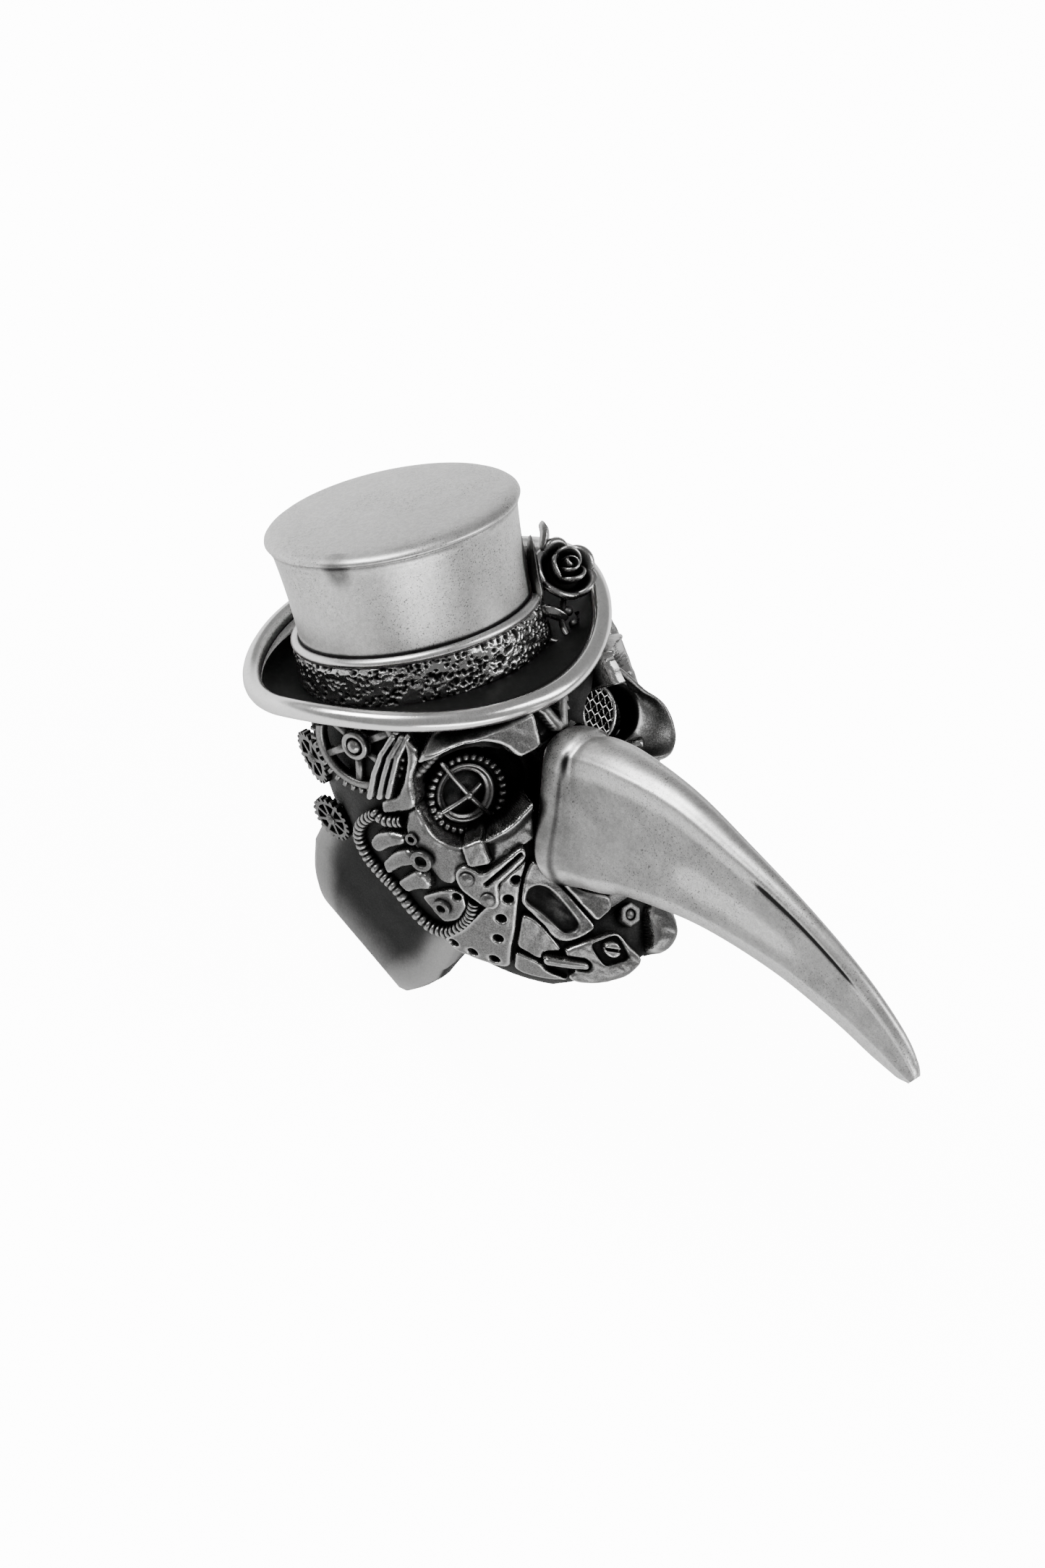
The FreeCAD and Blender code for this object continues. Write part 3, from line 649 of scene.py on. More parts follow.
def relief(layers, base=RELIEF_BASE, oxide_and_shade_gain=5.0, darkened_hollow=None):
    """Gather layers into one closed piece, with its worn edges and dark corners marked.

    Inside the outline of the darkened hollow, if one is given, the surface is darkened: painted shade and
    oxide in that recess.
    """
    x, y, height = height_map(layers, base, RELIEF_STEP)
    solid = height > base + 0.01
    oxide_and_shade, wear = relief_marks(height, solid, base, oxide_and_shade_gain)
    if darkened_hollow:
        # painted shade and oxide inside the recessed outline
        oxide_and_shade = np.maximum(oxide_and_shade, 0.45 * ease(0, 0.2, inside_distance(flat(darkened_hollow), x, y)))
    keep = solid[:-1, :-1] | solid[1:, :-1] | solid[:-1, 1:] | solid[1:, 1:]
    used = np.zeros(x.shape, bool)
    for part in (used[:-1, :-1], used[1:, :-1], used[:-1, 1:], used[1:, 1:]):
        part |= keep
    count = int(used.sum())
    number = np.full(x.shape, -1)
    number[used] = np.arange(count)
    top = wrap(x[used] / ARC, y[used], hammered(height, x, y)[used])
    underside = wrap(x[used] / ARC, y[used], np.full(count, base - RELIEF_FOOT))
    return Shape().add(np.concatenate((top, underside)).tolist(), skin_faces(keep, number, count), Matrix(),
                       np.concatenate((oxide_and_shade[used], np.ones(count))).tolist(),
                       np.concatenate((wear[used], np.zeros(count))).tolist())


def build_both(shape, name):
    """Build the mask's right piece and its mirror image on the left."""
    shape.build(name + "_right")
    shape.mirrored().build(name + "_left")


def build_group(shape, name, nodes=None):
    """Build one piece that holds both sides."""
    Shape().add_shape(shape).add_shape(shape.mirrored()).build(name, nodes=nodes)


# ---- the cheek, on the mask's right ---------------------------------------------------
# Outlines in degrees round the skull and millimetres up. All are drawn on the mask's right:
# what belongs on its left is mirrored when it is built.
BROW = ((143.5, -5.6), (136.4, -5.3), (130, -4.9), (123.7, -4.9), (117.3, -5.3), (112.5, -6.1),
        (109.5, -7.6), (101, -7.4), (99, -4.6), (106, -3.3), (124, -3.2), (137, -3.9))
TEMPLE = ((145.4, -3.6), (141.4, -4.7), (144.1, -5.8), (148.0, -6.9), (149.6, -9.2), (155.6, -9.7),
          (165.5, -9.8), (166.5, -9.5), (165.3, -8.6), (157.5, -8.4), (151.2, -6.9), (147.3, -5.3),
          (146.2, -3.6))
LEFT_BONE = ((146, -3.9), (160, -4.4), (169, -5.5), (173, -8), (171, -11), (162, -13), (154, -11.5),
             (152, -8), (147, -5.6))
CHEEK = ((156.0, -9.8), (150.2, -9.2), (149.6, -11.2), (147.4, -12.4), (141.6, -13.6), (133, -13.6),
         (134, -15.5), (145.8, -15.4), (148.8, -16.9), (155.1, -16.6), (158.1, -15.4), (157.5, -13.6),
         (160.4, -11.6))
LID = ((141.5, -13.6), (130.0, -13.4), (119.6, -12.8), (109.5, -11.6), (112.5, -15.0), (122.6, -15.3),
       (131.4, -15.9), (139.0, -15.6))
LID_TAB = ((139.4, -13.2), (130.8, -13.0), (131.2, -15.4), (139.8, -15.2))
FINS = (
    ((150.8, -3.4), (158.0, -4.7), (163.7, -6.3), (169.0, -8.2)),
    ((147.7, -3.6), (154.7, -5.0), (159.7, -6.5), (164.5, -8.2)),
    ((144.8, -3.6), (151.6, -5.1), (156.9, -6.9), (160.7, -8.2)),
)
JAW = ((118.6, -16.2), (123.8, -17.7), (130.3, -20.1), (135.7, -21.9), (147.9, -25.1), (152.2, -24.9),
       (158.5, -24.0), (165.0, -23.0), (166.8, -21.7), (155.5, -20.9), (144.0, -19.5), (135.0, -18.5),
       (132.1, -17.4), (124.2, -16.7))
JAW_HOLE_R = 0.36
JAW_HOLES = ((125.7, -17.6), (131.6, -19.0), (138.0, -20.5), (143.7, -22.2), (151.2, -24.1), (157.8, -23.2),
             (163.4, -22.2))
WINDOW = ((117.6, -16.5), (114.7, -16.9), (109.4, -20.4), (105.3, -23.9), (112.6, -24.2), (121.0, -24.1),
          (123.4, -23.5), (124.2, -22.1), (128.2, -19.7), (122.8, -17.8))
WINDOW_PANE = ((118.6, -18.7), (115.4, -19.3), (112.8, -20.9), (110.9, -23.1), (114.1, -23.6), (118.6, -23.4),
               (121.6, -21.5), (126.2, -19.6), (122.6, -18.7))
CHIN_SLAT = ((113.4, -17.3), (109.6, -19.9), (104.2, -23.5), (95.2, -23.1), (94.6, -22.0), (103.1, -20.7),
             (107.6, -19.4), (110.2, -17.6))
JAW_CURVE = ((129.6, -20.6), (126.3, -21.3), (124.4, -22.6), (123.6, -23.9), (124.0, -24.8), (130.8, -24.3),
             (134.4, -25.1), (139.4, -23.3), (135.2, -22.2))
JAW_KEEL = ((140.9, -23.7), (137.3, -24.6), (134.9, -25.4), (135.6, -26.2), (131.4, -27.6), (138.0, -27.2),
            (144.6, -26.2), (147.2, -25.3))
CHIN_PLATE = ((123.6, -24.7), (119.5, -24.6), (110.8, -24.6), (98.6, -24.9), (96.5, -26.2), (93.0, -28.0),
              (104, -28.9), (118, -28.8), (129.6, -27.8), (130.4, -27.0), (124.4, -26.8))
PILL = ((131.0, -25.1), (120.0, -26.4))
SCREW = (104.9, -26.0)
SCREW_R = 0.72
SCREW_PIT = ((112.0, -24.9), (112.4, -27.2), (99.2, -27.4), (98.8, -25.1))
BRACKET = ((146.2, -15.5), (142.5, -15.0), (139.2, -15.3), (136.4, -16.2), (119.5, -14.9), (117.8, -15.2),
           (119.0, -16.0), (132.6, -17.4), (133.3, -18.1), (135.2, -19.2), (138.4, -19.5), (141.4, -19.0),
           (147.0, -16.9))
BRACKET_SLOT = ((136.5, -17.1), (120.5, -15.5))
RIVETS = ((142.3, -16.2), (138.3, -18.4))
RIBS = (
    ((179.0, -12.5), (174.2, -11.6), (166.9, -11.3), (160.4, -11.7), (161.1, -12.6), (169.4, -12.9),
     (176.9, -13.6)),
    ((177.5, -14.4), (168.2, -13.2), (161.2, -13.0), (158.6, -13.9), (159.6, -14.6), (167.6, -14.7),
     (176.9, -15.6)),
    ((174.7, -16.2), (163.5, -15.1), (159.2, -15.2), (158.2, -16.3), (159.8, -17.0), (166.1, -16.9),
     (171.5, -17.3)),
)
RING_PLATE = ((167.0, -17.7), (158.9, -17.3), (152.8, -17.2), (148.3, -17.7), (149.2, -19.1), (155.7, -20.2),
              (163.5, -20.4))
RING_EYELET = (151.4, -18.0, 0.33)
HOSE = ((172.0, -10.0), (179.5, -10.8), (186.5, -12.4), (187.0, -14.3), (182.5, -15.9), (178.5, -17.2),
        (175.8, -19.2), (171.0, -20.9), (163.5, -21.3), (155.0, -20.6), (149.6, -19.8), (145.4, -18.7))
ELBOW = ((171.2, -9.6), (168.2, -10.4), (163.4, -10.6), (159.6, -10.6))
NOSE_ARMS = (((96, -4.4), (92, -5.8), (90, -7.4)), ((80, -4.4), (85, -5.8), (88.5, -7.4)))
NOSE_PINS = (((98.7, -5.0), (98.7, -6.8)), ((103.0, -5.2), (103.0, -6.6)))
NOSE_FLOOR = ((106, -4.0), (78, -4.0), (80, -8.4), (104, -8.4))
SOCKET_BASE = -2.4  # the eye plates reach down to the socket's floor
BROW_BASE = -1.6
LEFT_BROW_END = 122
LEFT_BROW_TOP = -4.7


def brow_height(angle, up):
    """The brow starts low under the hat and stands out over the eye."""
    return np.clip(0.8 + (-3.9 - up) * 1.5, 0.8, 2.3) - 0.5 * ease(134, 143, angle)


def temple_height(angle, up):
    """Smooth bone beside the eye: high at the socket and low at the temple."""
    return 1.25 - 0.6 * ease(148, 160, angle) + 0.15 * ease(-5, -8, up)


def cheek_height(angle, up):
    return 1.05 - 0.45 * ease(-12.2, -15.6, up) - 0.35 * ease(150, 158, angle)


def lid_height(angle, up):
    return 1.25 - 0.8 * ease(-13.0, -14.3, up + 0.08 * (angle - 125) * ease(130, 110, angle))


def chin_height(angle, up):
    return 0.75 + 0.5 * ease(-26, -28.6, up)


def chin_swell(angle, up):
    """The mask's left half of the chin bulges."""
    return 0.7 + 1.5 * np.exp(-((angle - 104) / 10) ** 2 - ((up + 27.2) / 1.6) ** 2)


def cushion(outline):
    """A puffed plate with a full round edge."""
    return plate(outline, 0.9, 0.55, 0.5)


# The left orbit flares out of the head: degrees round the eye, then radius and height
# of the inner lip and of the outer crest.
FLARE = (
    (78, 2.6, 1.1, 4.0, 2.4),
    (60, 2.5, 1.2, 3.6, 2.4),
    (30, 2.5, 1.4, 3.2, 2.6),
    (0, 2.9, 1.8, 3.4, 3.1),
    (-25, 3.2, 1.9, 5.0, 3.5),
    (-45, 3.2, 1.9, 5.6, 4.0),
    (-60, 3.1, 1.8, 5.6, 4.3),
    (-75, 3.1, 1.3, 5.2, 4.4),
    (-95, 3.1, 1.2, 4.4, 3.8),
)
FLARE_KEYS = 12  # spans of the section, from the socket's wall to the skull
FLARE_POINTS = 48
FLARE_STEPS = 90
LIP_AT = 3.7  # places along the section, in spans
CREST_AT = 7.2


def flare_section(row):
    """Up the socket's wall, over the lip, out along the bone and back down to the skull."""
    turn, lip_r, lip_z, crest_r, crest_z = row
    mid_r = (lip_r + crest_r) / 2
    mid_z = (lip_z + crest_z) / 2 - 0.12 * (crest_r - lip_r)
    keys = ((lip_r + 0.5, -3.5), (lip_r + 0.1, 0.0), (lip_r - 0.05, lip_z - 0.4),
            (lip_r + 0.1, lip_z - 0.05), (lip_r + 0.4, lip_z + 0.1), (mid_r + 0.1, mid_z + 0.15),
            (crest_r - 0.5, crest_z - 0.05), (crest_r - 0.1, crest_z - 0.05),
            (crest_r + 0.02, crest_z - 0.4), (crest_r - 0.2, crest_z - 1.3),
            (crest_r - 0.5, crest_z - 2.6), (crest_r - 0.9, -2.5), (lip_r + 0.9, -4.0))
    return [polar(radius, turn, height) for radius, height in smooth_rows(keys, FLARE_POINTS + 1)]


def make_flare(shape):
    """Add the flare: dark inside the socket and behind, worn along the lip and the crest."""
    rings = [flare_section(row) for row in smooth_rows(FLARE, FLARE_STEPS + 1)]
    span = np.linspace(0, FLARE_KEYS, FLARE_POINTS + 1)
    oxide_and_shade = 1 - ease(2.2, 3.4, span) + ease(8.6, 10, span)
    wear = 0.45 * bell(span, CREST_AT, 0.5) + 0.3 * bell(span, LIP_AT, 0.4)
    add_rings(shape, rings, eye_seat(1), True, False, oxide_and_shade.tolist() * len(rings), wear.tolist() * len(rings))


def make_orbit():
    """Bone and lids round the right eye, smooth bone and a flare round the left one."""
    temple = plate(TEMPLE, temple_height, 0.5, 0.6, base=SOCKET_BASE)
    cheek = plate(CHEEK, cheek_height, 0.5, 0.8, base=SOCKET_BASE)
    lid = plate(LID, lid_height, 0.3, 0.4, base=SOCKET_BASE)
    tab = plate(LID_TAB, 1.45, 0.35, 0.4, base=SOCKET_BASE)
    relief([temple, cheek, lid, tab], SOCKET_BASE).build("orbit_plate_right")
    bone = plate(LEFT_BONE, 1.7, 0.6, 1.0, base=SOCKET_BASE)
    left = relief([bone, cheek], SOCKET_BASE).mirrored()
    make_flare(left)
    left.build("orbit_plate_left")


def make_nose():
    """A light forked flange and two pins between the brow and the beak's root."""
    arms = [bar(line, 0.42, 0.9) for line in NOSE_ARMS]
    relief([plate(NOSE_FLOOR, 0.0)] + arms, oxide_and_shade_gain=9.0).build("nose_bridge")
    relief([bar(line, 0.3, 0.7) for line in NOSE_PINS]).build("bridge_pins")


def make_brow():
    """The hat leans left, so that the left brow stops lower under it."""
    right = plate(BROW, brow_height, 0.35, 0.5, base=BROW_BASE)
    relief([right], BROW_BASE).build("brow_ridge_right")
    low = [(max(angle, LEFT_BROW_END), min(up, LEFT_BROW_TOP)) for angle, up in BROW]
    left = plate(low, brow_height, 0.3, 0.3, base=BROW_BASE)
    relief([left], BROW_BASE).mirrored().build("brow_ridge_left")


def make_cheek():
    fins = [bar(line, 0.27, 1.0) for line in FINS]
    build_group(relief(fins), "temple_fins")
    build_group(relief([cushion(outline) for outline in RIBS]), "cheek_ribs", ("cheek_rib_plates",))
    ring = plate(RING_PLATE, 0.45, holes=(RING_EYELET,))
    build_both(relief([ring]), "cheek_ring_plate")
    arm = groove(BRACKET_SLOT, 0.16, 0.9, plate(BRACKET, 1.15, 0.2, 0.5))
    build_both(relief([arm]), "hinge_bracket")


def disc(centre, radius):
    """A round outline in degrees and millimetres."""
    return [(centre[0] + x / ARC, centre[1] + y) for x, y in circle(radius, 20)]


def make_jaw():
    holes = [(angle, up, JAW_HOLE_R) for angle, up in JAW_HOLES]
    layers = [plate(JAW, 0.8, 0.22, 0.5, holes), plate(JAW_CURVE, 0.6, 0.3, 0.5), plate(JAW_KEEL, 0.7)]
    build_both(relief(layers), "jaw_plate")
    window = plate(WINDOW, 0.65, 0.25, 0.5, hollow=WINDOW_PANE, depth=0.38)
    slat = plate(CHIN_SLAT, 0.75, 0.3)
    build_both(relief([window, slat], darkened_hollow=WINDOW_PANE), "chin_window_plate")


def make_chin():
    """A pill link and a slotted screw on the right half; the left half bulges."""
    bed = plate(CHIN_PLATE, chin_height, 0.35, 0.6, hollow=SCREW_PIT, depth=0.45)
    right = relief([groove(PILL, 0.62, 0.5, bed)], darkened_hollow=SCREW_PIT)
    left = relief([plate(CHIN_PLATE, chin_swell, 0.5, 0.6)]).mirrored()
    right.add_shape(left).build("chin_plates", nodes=("screw_plates", "chin_wedges"))
    relief([bar(PILL, 0.42, 1.3)]).build("chin_links")
    screw = plate(disc(SCREW, SCREW_R), 1.15, 0.16, 0.05)
    slot = [(SCREW[0] + end * 0.5 / ARC, SCREW[1] + end * 0.35) for end in (-1, 1)]
    relief([groove(slot, 0.13, 0.35, screw)]).build("slotted_screws")


def dome(radius, height, skirt):
    """A rivet's side view, from its sunk foot to the top of the head."""
    points = [(0, -skirt), (radius, -skirt)]
    for step in range(8):
        turn = math.pi / 2 * step / 7
        share = 0.8 + 0.2 * math.cos(turn) if step < 3 else 1.02 * math.cos(turn)
        points.append((radius * share, height * math.sin(turn)))
    return points


def collar(outer, inner, height, skirt):
    """A ring with a rounded top and a sunk eye."""
    middle = (outer + inner) / 2
    half = (outer - inner) / 2
    crest = [(middle + half * math.cos(turn), height + 0.5 * half * math.sin(turn))
             for turn in (math.pi * step / 8 for step in range(9))]
    return [(0, -skirt), (outer, -skirt)] + crest + [(inner, height - 0.45), (0, height - 0.5)]


def make_fasteners():
    rivets = Shape()
    for angle, up in RIVETS:
        lathe(rivets, dome(0.62, 0.42, 1.5), skull_seat(angle, up, 1.15), 32)
    build_group(rivets, "bracket_rivets")
    ports = lathe(Shape(), collar(0.92, 0.5, 0.55, 1.0), skull_seat(156.1, -13.9, 0.75), 40)
    lathe(ports, collar(0.75, 0.38, 0.35, 0.6), skull_seat(159.2, -18.7, 0.45), 40)
    build_group(ports, "cheek_ports")
    small = lathe(Shape(), collar(0.52, 0.28, 0.3, 0.8), skull_seat(157.2, -12.0, 0.7), 32)
    build_group(small, "small_ports")


# ---- hoses and wheels -----------------------------------------------------------------
HOSE_SIDES = 14
HEAD_MIDDLE = at(0, SKULL_MID, -15)


def make_hose(name, line, count, core, rise, lift):
    """A corrugated hose: painted shade and oxide in its grooves and wear on its crests."""
    steps = count * 8 + 1
    path = [skull_point(angle, up, lift) for angle, up in smooth_rows(line, steps)]

    def crest(t):
        return abs(math.sin(math.pi * count * t)) ** 0.6

    def outline(t):
        return circle(core + rise * crest(t), HOSE_SIDES)

    def outward(t):
        return path[min(int(t * (steps - 1)), steps - 1)] - HEAD_MIDDLE

    oxide_and_shade = []
    wear = []
    for index in range(steps):
        height = crest(index / (steps - 1))
        oxide_and_shade += [1.0 - min(1.0, height * 1.4)] * HOSE_SIDES
        wear += [max(0.0, height - 0.75) * 2.5] * HOSE_SIDES
    build_both(sweep(Shape(), path, outline, outward, Matrix(), oxide_and_shade, wear), name)


# ---- eyes -----------------------------------------------------------------------------
COG_TEETH = 30
RIGHT_EYE_LIFT = -0.9
LEFT_TRIM_LIFT = -0.6
ROD_WEAR = 0.6
ALMOST_UP = Vector((0, 0.02, 1))  # a little off the axis, along which a wire may run


def rod(shape, points, radius, place, tip=None):
    """A round wire with a soft point at both ends, or a ball of radius tip at its far end."""
    def outline(t):
        return circle(max(radius * min(1, 6 * min(t, 1 - t) + 0.5), 0.03), 10)

    sweep(shape, smooth_path(points, 24), outline, ALMOST_UP, place, 0.0, ROD_WEAR)
    if tip:
        ball(shape, tip, Vector(points[-1]), place, ROD_WEAR)
    return shape


def ball(shape, radius, point, place, wear=0.5):
    turns = [math.pi * step / 10 for step in range(11)]
    profile = [(radius * math.sin(turn), -radius * math.cos(turn)) for turn in turns]
    return lathe(shape, profile, place @ Matrix.Translation(point), 16, 1.0, 0.0, wear)


def make_cog():
    """A ring of rounded teeth round a stepped dial."""
    place = eye_seat(-1, RIGHT_EYE_LIFT)
    path = [Vector((2.72 + 0.62 * k / 8, 0, 0.75)) for k in range(9)]

    def tooth(t):
        return circle(0.28 * math.sqrt(max(1 - (2 * t - 1) ** 4, 0.02)), 10, 1.7)

    cog = Shape()
    for turn in full_turn(COG_TEETH):
        sweep(cog, path, tooth, UP, place @ Matrix.Rotation(turn, 4, "Z"), 0.0, 0.5)
    lathe(cog, [(2.5, -0.4), (3.3, -0.4), (3.3, 0.35), (2.5, 0.5)], place, 72, 1.0, 0.8, 0.0, True)
    cog.build("eye_cog_right")
    rim = [(1.75, -0.3), (2.45, -0.3), (2.5, 0.55), (2.38, 0.72), (2.2, 0.72), (2.1, 0.5), (2.0, 0.4),
           (1.85, 0.42), (1.75, 0.2)]
    dial = lathe(Shape(), rim, place, 72, 1.0, 0.0, 0.5, True)
    lathe(dial, [(0, -0.3), (1.8, -0.3), (1.8, 0.15), (1.1, 0.05), (0.9, 0.25), (0.55, 0.25), (0, 0.2)],
          place, 48, 1.0, 0.25, 0.15)
    dial.build("eye_dial_right")


# degrees, then radius and height of the arm's middle and end, then the radius of its ball
CROSS_ARMS = (
    (111, 2.2, 1.6, 4.3, 2.6, None),
    (191, 1.4, 1.25, 2.75, 1.0, 0.36),
    (295, 1.4, 1.2, 2.7, 0.95, None),
    (17, 0.7, 1.3, 1.35, 1.1, None),
)


def make_cross():
    """Four arms from the dial's middle, the second of which ends in a ball."""
    place = eye_seat(-1, RIGHT_EYE_LIFT)
    cross = Shape()
    for turn, mid_r, mid_z, end_r, end_z, tip in CROSS_ARMS:
        arm = ((0, 0, 1.35), polar(mid_r, turn, mid_z), polar(end_r, turn, end_z))
        rod(cross, arm, 0.2, place, tip)
    ball(cross, 0.36, Vector((0, 0, 1.4)), place, 0.6)
    lathe(cross, [(0, -0.1), (0.22, -0.1), (0.22, 1.3), (0, 1.3)], place, 16)
    cross.build("eye_cross_right")


SOCKET_BEADS = 9
GAUZE_R = 1.95
GAUZE_PITCH = 0.62
GAUZE_WIRE_R = 0.085
GAUZE_WAVE = 0.06


def make_socket_trim():
    """Beads along the socket's upper wall, and a scroll low in it."""
    place = eye_seat(1, LEFT_TRIM_LIFT)
    beads = Shape()
    for index in range(SOCKET_BEADS):
        ball(beads, 0.2, Vector(polar(2.85, 60 + 16 * index, 0.2)), place, 0.2)
    beads.build("eye_bead_ring_left")
    curl = ((1.2, -3.3, 0.4), (1.9, -2.7, 0.7), (2.5, -3.2, 0.9), (2.1, -3.8, 1.0), (1.6, -3.4, 1.1))
    rod(Shape(), curl, 0.18, place).build("eye_scroll_left")


def make_gauze():
    """A flat grille of wires woven over and under each other, inside a round rim."""
    place = eye_seat(1)
    wire = circle(GAUZE_WIRE_R, 8)
    gauze = Shape()
    count = int(GAUZE_R / GAUZE_PITCH)
    for family in (0, 1):
        for index in range(-count, count + 1):
            offset = index * GAUZE_PITCH
            half = math.sqrt(GAUZE_R ** 2 - offset ** 2)
            steps = max(8, int(half * 2 / GAUZE_PITCH) * 6)
            path = []
            for step in range(steps + 1):
                along = -half + 2 * half * step / steps
                wave = GAUZE_WAVE * math.cos(math.pi * (along / GAUZE_PITCH + index + family))
                x, y = (along, offset) if family == 0 else (offset, along)
                path.append(Vector((x, y, 0.3 + wave)))
            sweep(gauze, path, wire, UP, place, 0.0, 1.0)
    lathe(gauze, [(0, -1.2), (2.2, -1.2), (2.2, -0.5), (0, -0.5)], place, 48, 1.0, 1.0)
    gauze.build("eye_mesh_left")
    rim = [(1.9, -0.5), (2.3, -0.5), (2.3, 0.35), (2.22, 0.5), (2.08, 0.55), (1.95, 0.48), (1.88, 0.3)]
    lathe(Shape(), rim, place, 64, 1.0, 0.0, 0.8, True).build("eye_mesh_rim_left")


# ---- temple gear ----------------------------------------------------------------------
GEAR_SEAT = seat(at(-11.4, 1.3, -3.9), at(-1, 0.3, 0.05))
GEAR_TIP_R = 4.4
GEAR_ROOT_R = 3.95
GEAR_RIM_R = 3.3
GEAR_TEETH = 34
GEAR_SPOKES = 6
SPOKE_START = math.radians(12)
GEAR_CEILING = -0.2  # height on the hat's axis of the brim's underside over the gear


def blunt(width, thick):
    """A box with soft upper corners."""
    corners = ((-1, -1), (1, -1), (1, 0.5), (0.7, 1), (-0.7, 1), (-1, 0.5))
    return [(width * x, thick * y) for x, y in corners]


def radial(shape, count, radii, height, section, wear, start=0.0):
    """Equal bars that stand out from the gear's axis."""
    path = [Vector((radius, 0, height)) for radius in radii]
    for turn in full_turn(count):
        place = GEAR_SEAT @ Matrix.Rotation(turn + start, 4, "Z")
        sweep(shape, path, section, UP, place, 0.0, wear)


def make_gears():
    wheel = Shape()
    rim = [(GEAR_RIM_R, -0.3), (GEAR_ROOT_R, -0.3), (GEAR_ROOT_R, 0.42), (GEAR_ROOT_R - 0.1, 0.55),
           (GEAR_RIM_R + 0.12, 0.55), (GEAR_RIM_R, 0.42)]
    lathe(wheel, rim, GEAR_SEAT, 96, 1.0, 0.0, 0.2, True)
    tooth_radii = (GEAR_ROOT_R - 0.1, GEAR_ROOT_R + 0.2, GEAR_TIP_R)
    radial(wheel, GEAR_TEETH, tooth_radii, 0.1, blunt(0.19, 0.4), 0.3)
    radial(wheel, GEAR_SPOKES, (1.0, 2.2, GEAR_RIM_R + 0.1), 0.15, blunt(0.34, 0.32), 0.25, SPOKE_START)
    lathe(wheel, [(0, -0.3), (1.25, -0.3), (1.25, 0.45), (0, 0.45)], GEAR_SEAT, 48)
    under_brim = (HAT @ Vector((0, 0, GEAR_CEILING)), HAT.to_3x3() @ UP)
    for side, shape in (("right", wheel), ("left", wheel.mirrored())):
        shape.build("temple_gear_" + side, ceiling=under_brim)
    hub = [(0.72, 0.3), (1.2, 0.3), (1.2, 0.85), (1.1, 1.0), (0.85, 1.0), (0.75, 0.9)]
    hubs = lathe(Shape(), hub, GEAR_SEAT, 48, 1.0, 0.0, 0.5, True)
    ball(hubs, 0.62, Vector((0, 0, 0.75)), GEAR_SEAT, 0.6)
    build_group(hubs, "temple_gear_hubs")


# ---- beak -----------------------------------------------------------------------------
BEAK_AROUND = 96
BEAK_ALONG = 170
BEAK_END = len(BEAK_STATIONS) - 1
BEAK_ROOT = 10.5
BEAK_ROUND = 0.9


def beak_row(t):
    """The beak's measures at a place along it; t counts stations."""
    return through(BEAK_STATIONS, t)


def beak_ring(t):
    """One section of the beak, with the rounded border at its root."""
    forward, up, height, ridge, cheek, line, keel = beak_row(t)
    ahead = beak_row(min(t + 0.05, BEAK_END))
    behind = beak_row(max(t - 0.05, 0))
    along = at(0, ahead[0] - behind[0], ahead[1] - behind[1]).normalized()
    rise = Vector((-1, 0, 0)).cross(along)
    inset = min(max((BEAK_ROOT + BEAK_ROUND - forward) / BEAK_ROUND, 0), 1)
    grow = -1.1 * (1 - math.sqrt(1 - inset * inset))
    grow += 0.16 * bell(forward, BEAK_ROOT + 1.5, 0.6)
    grow -= 0.1 * bell(forward, BEAK_ROOT + 3.0, 0.8)
    tall = height + 2 * grow
    top = max(ridge + grow, 0.05)
    low = max(cheek + grow, 0.05)
    half = [(0.55 * top, 0.475), (0.97 * top, 0.40), ((top + low) / 2, 0.20 + line / 2),
            (low, line), (keel * low, -0.46)]
    corners = [(0, 0.5)] + half + [(0, -0.5)] + [(-x, y) for x, y in reversed(half)]
    centre = at(0, forward, up)
    ring = []
    for step in range(BEAK_AROUND):
        x, y = through(corners, len(corners) * step / BEAK_AROUND, True)
        ring.append(centre + Vector((x, 0, 0)) + rise * y * tall)
    return ring


def beak_shade_and_reflections(forward):
    """Painted shade and reflections round one section: a painted shadow at the root,
    darkening in the dimple and the hollow behind the border, a painted dark reflection
    along the tip's side, and painted shade on the flank with a lighter band left in it
    as a painted highlight. side runs from 0 on the ridge to 0.5 under the keel.
    """
    share = np.arange(BEAK_AROUND) / BEAK_AROUND
    side = np.minimum(share, 1 - share)
    # painted shadow where the beak leaves the face
    root = 1.0 - ease(BEAK_ROOT - 0.2, BEAK_ROOT + 0.5, forward)
    dimple = bell(forward, 12.6, 0.8) * bell(side, 0.16, 0.07)
    hollow = 0.85 * bell(forward, 12.4, 0.55) * ease(0.05, 0.12, side)
    outer = ease(28, 31, forward) - ease(37, 40, forward)
    # painted dark reflection along the tip's side, under the ridge
    dark_reflection_streak = 1.1 * outer * bell(side, 0.165, 0.022)
    # painted shade on the flank, with a lighter band left in it as a painted highlight
    highlight_band = ease(23, 26, forward) - ease(32, 35, forward)
    flank = ease(0.15, 0.19, side) - ease(0.33, 0.37, side)
    flank_shade = 0.72 * flank * (1 - 0.6 * highlight_band * bell(side, 0.27, 0.02))
    return np.maximum.reduce([root + 0 * side, dimple, hollow, dark_reflection_streak, flank_shade]).tolist()


def make_beak():
    """The sections lie closer together near the root, where the border is."""
    places = [BEAK_END * (step / BEAK_ALONG) ** 1.15 for step in range(BEAK_ALONG + 1)]
    oxide_and_shade = [mark for t in places for mark in beak_shade_and_reflections(beak_row(t)[0])]
    shape = add_rings(Shape(), [beak_ring(t) for t in places], oxide_and_shade=oxide_and_shade)
    shape.build("beak", "polished_silver", nodes=("beak", "beak_collar"))


